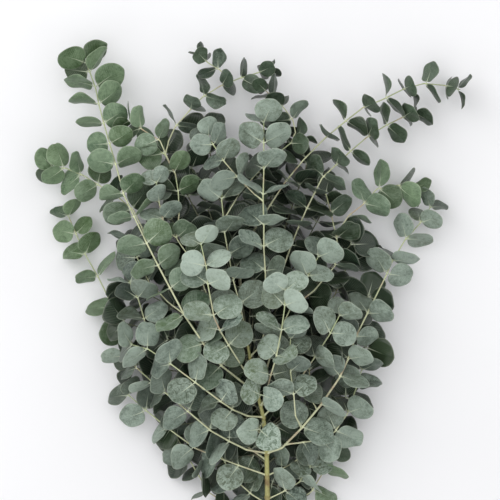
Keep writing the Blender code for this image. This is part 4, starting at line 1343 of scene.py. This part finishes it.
def leaf_material(name, bloom_colour, green, look, roughness, sheen):
    """Leathery eucalyptus leaf under grey-white wax, which is rubbed off in places.

    The wax gives a matt, mottled grey-green, and bare spots show a darker satin green. The
    midrib is a pale line that fades to the tip, and the side veins are faint and fine. Leaves that
    lie under others lose wax and take a darker green, partly as real shade leaves do and partly as
    painted shade.
    midrib is a pale line that fades to the tip, and the side veins are faint and fine.
    """
    material, shader, add = new_material(name, roughness)
    own = add("vector add", add("place"), add("vector value", attribute_name="start"))
    bloom, tint, scuff, shade, age, under, rim = (add("value", attribute_name=label) for label in (
        "bloom", "tint", "scuff", "shade", "age", "underside", "rim"))
    flat = add("parts", add("leaf map"))
    aside = add("absolute", add("subtract", flat["X"], 0.5))
    along = flat["Y"]

    # Wax: broad patches, mottling and fine grain
    patches = add("noise", own, 1 / WAX_PATCH, 2.0, 0.55)
    mottle = add("noise", own, 1 / WAX_MOTTLE, 3.0, 0.62)
    grain = add("noise", own, 1 / WAX_GRAIN, 2.0, 0.55)
    wax = bloom
    for pattern, share in zip((patches, mottle, grain), WAX_SHARES):
        wax = add("add", wax, add("multiply", add("subtract", pattern, 0.5), share))
    wax = add("add", wax, add("multiply", under, UNDERSIDE_WAX))
    wax = add("span", wax, *WAX_SPAN)

    # Scuffs: irregular bare streaks, more of them on some leaves
    streaks = add("noise", own, 1 / SCUFF_STREAK, 4.0, 0.7, 1.2)
    bare = add("span", add("add", streaks, add("multiply", scuff, SCUFFED_MORE)), *BARE_SPAN)
    bare = add("multiply", bare, add("subtract", 1.0, under))
    wax = add("multiply", wax, add("subtract", 1.0, add("multiply", bare, RUBBED_OFF)))

    # Midrib and side veins, by their place on the blade
    end, power, size = RIB_TAPER
    width = add("multiply", add("power", add("subtract", end, along), power), size)
    rib = add("span", add("subtract", 1.0, add("divide", aside, width)), *RIB_SPAN)
    rib = add("multiply", rib, add("span", along, *RIB_FADING))
    spread = add("subtract", along, add("multiply", aside, VEIN_SLANT))
    waves = add("multiply", spread, 2 * math.pi * FORM_SIZE / look.vein_spacing)
    wander_by = add("multiply", add("subtract", patches, 0.5), VEIN_WANDER)
    side_veins = add("span", add("sine", add("add", waves, wander_by)), *VEIN_SPAN)
    side_veins = add("multiply", side_veins, add("span", aside, *VEINS_FROM_RIB))
    side_veins = add("multiply", side_veins, add("span", rim, *VEINS_TO_RIM))
    stalk = add("multiply", add("span", along, *STALK_ALONG), add("span", aside, *STALK_ASIDE))

    # Each leaf's own green, from bluish to yellowish, then wax, which is greyer on older leaves,
    # a darker green on leaves under others, partly the green of shade leaves and partly painted shade,
    # veins, and a thin paler edge
    leaf_green = add("mix", add("span", tint, -1.0, 1.0), scaled(green, COLD), scaled(green, WARM))
    own_bloom = add("mix", add("span", age, *AGE_SPAN), bloom_colour, look.grey_bloom)
    colour = layered(add, leaf_green, (
        (wax, own_bloom),
        # Painted shade, with the darker green of shade leaves, on leaves under others
        (add("multiply", shade, SHADE_GREEN), look.shade_green),
        (add("multiply", side_veins, VEIN_SHARE), look.vein),
        (add("multiply", rib, RIB_SHARE), look.vein),
        (stalk, look.vein),
        (add("span", rim, *RIM_SPAN), look.vein),
    ))

    # Bare leaf is glossier than waxed leaf
    gloss = add("span", wax, 0.0, 1.0, roughness - BARE_GLOSS, roughness + WAX_MATT)
    material.node_tree.links.new(gloss, shader.inputs["Roughness"])
    shader.inputs["Sheen Weight"].default_value = sheen
    shader.inputs["Sheen Roughness"].default_value = 0.5
    relief = add("add", add("multiply", side_veins, 0.6), mottle)
    return finish_material(material, shader, colour, add("bump", relief, 0.35, 0.0003))


def twig_material(look):
    """Smooth pale yellow-green twig bark, with paler rings at the leaf scars, and painted shade in a
    dull brown on the twigs of the inner shoots.
    """
    material, shader, add = new_material("young_twig_bark", 0.55)
    to_tip, knuckle, shade = (
        add("value", attribute_name=label) for label in ("to_tip", "knuckle", "shade"))
    patches = add("noise", add("place"), 1 / TWIG_PATCH, 2.0, 0.55)
    mottle = add("noise", add("place"), 1 / TWIG_MOTTLE, 3.0, 0.65)
    colour = layered(add, look.skin, (
        (add("span", to_tip, 0.35, 1.0), look.young),
        (add("span", patches, 0.55, 0.7, 0.0, 0.75), look.blush),
        (add("span", mottle, 0.56, 0.72, 0.0, 0.45), scaled(look.young, (0.55, 0.55, 0.55))),
        (add("span", knuckle, 0.4, 1.0, 0.0, 0.55), scaled(look.skin, (1.3, 1.3, 1.3))),
        # Painted shade in dull brown over the inner twigs
        (add("multiply", shade, PAINTED_SHADE_BROWN), look.painted_shade_brown),
    ))
    return finish_material(material, shader, colour, add("bump", mottle, 0.4, 0.0004))


def bark_material(look):
    """Young eucalyptus bark: smooth yellow-green skin that turns to tan fibres near the cut."""
    material, shader, add = new_material("young_eucalyptus_bark", 0.68)
    to_tip, knuckle = (add("value", attribute_name=label) for label in ("to_tip", "knuckle"))
    along = add("stretch", add("place"), (1.0, FIBRE_STRETCH, 1.0))
    fibres = add("noise", along, 1 / look.fibre, 4.0, 0.65)
    patches = add("noise", add("place"), 1 / BARK_PATCH, 3.0, 0.55)
    specks = add("noise", add("place"), 1 / BARK_SPECK, 2.0, 0.55)
    patchy = add("multiply", add("subtract", patches, 0.5), 1.6)
    old = add("add", add("span", to_tip, 0.0, 0.6, 0.8, 0.1), patchy)
    colour = layered(add, look.green_bark, (
        (add("span", old, 0.2, 0.8), look.brown_bark),
        (add("span", fibres, 0.5, 0.72, 0.0, 0.6), scaled(look.brown_bark, (0.45, 0.45, 0.45))),
        (add("span", specks, 0.62, 0.72, 0.0, 0.5), scaled(look.green_bark, (1.25, 1.25, 1.25))),
        (add("span", knuckle, 0.3, 1.0, 0.0, 0.35), look.brown_bark),
    ))
    relief = add("add", fibres, add("multiply", specks, 0.4))
    return finish_material(material, shader, colour, add("bump", relief, 0.6, 0.0008))


def wood_material(look, centre):
    """Fresh cut wood: pale cream with faint growth rings round a darker pith."""
    material, shader, add = new_material("fresh_cut_wood", 0.75)
    reach = add("length", add("vector subtract", add("place"), centre))
    rays = add("noise", add("place"), 1 / WOOD_RAY, 3.0, 0.55)
    rings = add("sine", add("multiply", reach, 2 * math.pi / GROWTH_RING))
    colour = layered(add, look.wood, (
        (add("span", rings, 0.2, 1.0, 0.0, 0.35), look.brown_bark),
        (add("span", rays, 0.5, 0.75, 0.0, 0.3), look.brown_bark),
        (add("span", reach, 0.0004, 0.0009, 0.8, 0.0), scaled(look.brown_bark, (0.4, 0.4, 0.4))),
    ))
    return finish_material(material, shader, colour, add("bump", rays, 0.5, 0.0003))


def floor_material(look):
    """Matt white studio board: no pattern that the eye could catch, only a trace of unevenness."""
    material, shader, add = new_material("matt_studio_board", 0.9)
    clouds = add("noise", add("place"), 1 / BOARD_CLOUD, 2.0, 0.55)
    darker = scaled(look.floor_colour, (0.97, 0.97, 0.97))
    colour = add("mix", add("span", clouds, 0.3, 0.7), look.floor_colour, darker)
    material.node_tree.links.new(colour, shader.inputs["Base Color"])
    shader.inputs["Specular IOR Level"].default_value = 0.2
    return material


@lru_cache(maxsize=None)
def slot_materials():
    """The leaf materials by material slot."""
    look = bpy.context.scene.eucalyptus_leaf
    made = {}
    for slot, (name, bloom, green, roughness, sheen) in LEAF_FINISHES.items():
        made[slot] = leaf_material(
            name, getattr(look, bloom), getattr(look, green), look, roughness, sheen)
    return made


def form_collection(name, look, columns, rows):
    """A collection of leaf forms, from the most drooping to the most arched."""
    draw = random.Random(f"{LOOK_SEED} {name}")
    forms = bpy.data.collections.new(name)
    bpy.context.scene.collection.children.link(forms)
    least, most = (ARCH * end for end in ARCH_RANGE)
    for level in range(ARCH_LEVELS):
        arch = least + (most - least) * (level + 0.5) / ARCH_LEVELS
        for number in range(FORMS_A_LEVEL):
            label = f"{name}_{level * FORMS_A_LEVEL + number:02d}"
            forms.objects.link(leaf_form(label, arch, look, draw, columns, rows))
    return forms


def grow_leaves(name, leaves, tone, forms, seed):
    """One piece of leaves on a shoot, or on several."""
    look = bpy.context.scene.eucalyptus_leaf
    return grow_piece(name, leaf_points(name, leaves, tone), leaves_tree(), {
        "Forms": forms,
        "Warp": look.warp,
        "Warp size": look.warp_size,
        "Lay height": look.lay_height,
        "Seed": float(seed),
        "Material": slot_materials()[TONE_SLOTS[tone]],
    })


def remove_forms(forms):
    """Remove leaf forms once the leaves are made."""
    for form in list(forms.objects):
        bpy.data.objects.remove(form)
    bpy.data.collections.remove(forms)


class EUCALYPTUS_OT_leaves(bpy.types.Operator):
    """Add the fine leaves of every shoot"""

    bl_idname = "eucalyptus.leaves"
    bl_label = "Leaves"

    def execute(self, context):
        forms = form_collection("leaf_form", context.scene.eucalyptus_leaf, FORM_COLUMNS, FORM_ROWS)
        for number, stem in enumerate(SHOOTS):
            own = [leaf for leaf in branch()[1] if leaf.stem == stem.name]
            name = stem.name.replace("shoot", "leaves")
            piece = grow_leaves(name, own, stem.tone, forms, number)
            stand_for(piece, stem.name)
        remove_forms(forms)
        return {"FINISHED"}


class EUCALYPTUS_OT_inner_shoots(bpy.types.Operator):
    """Add the shoots that fill the branch below the others"""

    bl_idname = "eucalyptus.inner_shoots"
    bl_label = "Inner shoots"

    def execute(self, context):
        look = context.scene.eucalyptus_leaf
        inner = [leaf for leaf in branch()[1] if leaf.stem not in OUTER]
        forms = form_collection("inner_form", look, INNER_COLUMNS, INNER_ROWS)
        piece = grow_leaves("leaves_inside", inner, "inner", forms, INNER_SEED)
        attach(piece, BODY)
        remove_forms(forms)
        twig = context.scene.eucalyptus_twig
        for number, stem in enumerate(inner_shoots()):
            name = stem.name.replace("shoot", "twig")
            # The inner twigs are painted fully in the dull brown of painted shade
            tube = grow_twig(name, shoot_stations(stem, twig), number, INNER_RING_STEP, INNER_SIDES, 1.0)
            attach(tube, BODY)
        return {"FINISHED"}


@lru_cache(maxsize=None)
def twig_bark():
    """The one material of all the twigs."""
    return twig_material(bpy.context.scene.eucalyptus_twig)


def grow_twig(name, stations, seed, ring_step, sides, shade=0.0):
    """One twig's tube on its stations."""
    look = bpy.context.scene.eucalyptus_twig
    return grow_piece(name, route_mesh(name, stations, shade), tube_tree(), {
        "Ring step": ring_step,
        "Sides": sides,
        "Unevenness": look.unevenness,
        "Unevenness size": TWIG_WAVE,
        "Seed": float(seed),
        "Material": twig_bark(),
    })


class EUCALYPTUS_OT_twigs(bpy.types.Operator):
    """Add the round twig of every shoot"""

    bl_idname = "eucalyptus.twigs"
    bl_label = "Twigs"

    def execute(self, context):
        look = context.scene.eucalyptus_twig
        for number, stem in enumerate(SHOOTS):
            name = stem.name.replace("shoot", "twig")
            piece = grow_twig(name, shoot_stations(stem, look), number, look.ring_step, TWIG_SIDES)
            stand_for(piece, stem.name)
        return {"FINISHED"}


class EUCALYPTUS_OT_main_stem(bpy.types.Operator):
    """Add the main stem's bark and its cut end"""

    bl_idname = "eucalyptus.main_stem"
    bl_label = "Main stem"

    def execute(self, context):
        look = context.scene.eucalyptus_bark
        stations = main_stations(look)
        piece = grow_piece("bark", route_mesh("bark", stations), tube_tree(), {
            "Ring step": BARK_RING_STEP,
            "Sides": BARK_SIDES,
            "Unevenness": look.unevenness,
            "Unevenness size": BARK_WAVE,
            "Seed": 1.0,
            "Material": bark_material(look),
        })
        stand_for(piece, "main_stem")
        cut = cut_end(stations, look)
        stand_for(cut, "main_stem")
        return {"FINISHED"}


def cut_end(stations, look):
    """The cut face of the main stem: a thin, slightly domed disc of wood inside the bark."""
    centre, radius = stations[0][0], stations[0][1]
    inwards = (stations[1][0] - centre).normalized()
    turn = inwards.to_track_quat("Z", "Y").to_matrix().to_4x4()
    shape = bmesh.new()
    middle = shape.verts.new((0, 0, CUT_DOME * MM))
    back = shape.verts.new((0, 0, CUT_BACK * MM))
    previous = None
    for share, depth in CUT_RINGS:
        ring = []
        for side in range(BARK_SIDES):
            angle = 2 * math.pi * side / BARK_SIDES
            reach = radius * share
            ring.append(shape.verts.new((reach * math.cos(angle), reach * math.sin(angle), depth * MM)))
        for side in range(BARK_SIDES):
            after = (side + 1) % BARK_SIDES
            if previous is None:
                shape.faces.new((middle, ring[after], ring[side]))
            else:
                shape.faces.new((previous[side], previous[after], ring[after], ring[side]))
        previous = ring
    for side in range(BARK_SIDES):
        shape.faces.new((back, previous[side], previous[(side + 1) % BARK_SIDES]))
    bmesh.ops.recalc_face_normals(shape, faces=shape.faces[:])
    turn.translation = centre
    shape.transform(turn)
    mesh = bpy.data.meshes.new("cut_end")
    shape.to_mesh(mesh)
    shape.free()
    mesh.materials.append(wood_material(look, centre))
    cut = bpy.data.objects.new("cut_end", mesh)
    bpy.context.scene.collection.objects.link(cut)
    return cut


class EUCALYPTUS_OT_stage(bpy.types.Operator):
    """Add the floor, the light and the camera over the branch"""

    bl_idname = "eucalyptus.stage"
    bl_label = "Studio"

    def execute(self, context):
        look = context.scene.eucalyptus_stage
        scene = context.scene
        middle = branch()[2]
        mesh = bpy.data.meshes.new("studio_floor")
        corners = [(x * FLOOR_HALF, y * FLOOR_HALF, 0) for x, y in ((-1, -1), (1, -1), (1, 1), (-1, 1))]
        mesh.from_pydata(corners, [], [(0, 1, 2, 3)])
        mesh.materials.append(floor_material(look))
        floor = bpy.data.objects.new("studio_floor", mesh)
        scene.collection.objects.link(floor)

        world = bpy.data.worlds.new("even_studio_light")
        world.use_nodes = True
        sky = world.node_tree.nodes["Background"]
        sky.inputs["Color"].default_value = (1.0, 1.0, 1.0, 1.0)
        sky.inputs["Strength"].default_value = look.sky_strength
        scene.world = world
        target = Vector((middle.x, middle.y, LEAF_HEIGHT))
        for name, place, width, share in SOFT_BOXES:
            box = bpy.data.lights.new(name, "AREA")
            box.size = width
            box.energy = look.lamp_power * share
            lamp = bpy.data.objects.new(name, box)
            lamp.location = target + Vector(place)
            lamp.rotation_euler = (-Vector(place)).to_track_quat("-Z", "Y").to_euler()
            scene.collection.objects.link(lamp)

        view = bpy.data.cameras.new("camera_over_branch")
        view.sensor_width = SENSOR
        view.lens = SENSOR * (CAMERA_HEIGHT - LEAF_HEIGHT) / (PHOTO_SIDE * PIXEL)
        camera = bpy.data.objects.new("camera_over_branch", view)
        camera.location = (middle.x, middle.y, CAMERA_HEIGHT)
        scene.collection.objects.link(camera)
        scene.camera = camera
        scene.view_settings.view_transform = "Standard"
        return {"FINISHED"}


class EUCALYPTUS_PT_branch(bpy.types.Panel):
    """The pieces of the branch, with their sizes and colours"""

    bl_idname = "EUCALYPTUS_PT_branch"
    bl_label = "Eucalyptus branch"
    bl_space_type = "VIEW_3D"
    bl_region_type = "UI"
    bl_category = "Eucalyptus"

    def draw(self, context):
        scene = context.scene
        groups = (
            (scene.eucalyptus_leaf, "eucalyptus.leaves"),
            (None, "eucalyptus.inner_shoots"),
            (scene.eucalyptus_twig, "eucalyptus.twigs"),
            (scene.eucalyptus_bark, "eucalyptus.main_stem"),
            (scene.eucalyptus_stage, "eucalyptus.stage"),
        )
        for look, operator in groups:
            box = self.layout.box()
            for name in look.__annotations__ if look else ():
                box.prop(look, name)
            box.operator(operator)


CLASSES = (
    LeafLook, TwigLook, BarkLook, StageLook,
    EUCALYPTUS_OT_leaves, EUCALYPTUS_OT_inner_shoots, EUCALYPTUS_OT_twigs,
    EUCALYPTUS_OT_main_stem, EUCALYPTUS_OT_stage,
    EUCALYPTUS_PT_branch,
)
LOOKS = (
    ("eucalyptus_leaf", LeafLook),
    ("eucalyptus_twig", TwigLook),
    ("eucalyptus_bark", BarkLook),
    ("eucalyptus_stage", StageLook),
)


def register():
    """Make the panel, the operators and their settings known to Blender."""
    for known in CLASSES:
        bpy.utils.register_class(known)
    for name, group in LOOKS:
        setattr(bpy.types.Scene, name, bpy.props.PointerProperty(type=group))


def unregister():
    """Take back what register made known."""
    for name, _ in LOOKS:
        delattr(bpy.types.Scene, name)
    for known in reversed(CLASSES):
        bpy.utils.unregister_class(known)


def main():
    """Dress the branch."""
    register()
    bpy.ops.eucalyptus.main_stem()
    bpy.ops.eucalyptus.twigs()
    bpy.ops.eucalyptus.leaves()
    bpy.ops.eucalyptus.inner_shoots()
    bpy.ops.eucalyptus.stage()
    bpy.context.view_layer.update()


if __name__ == "__main__":
    main()
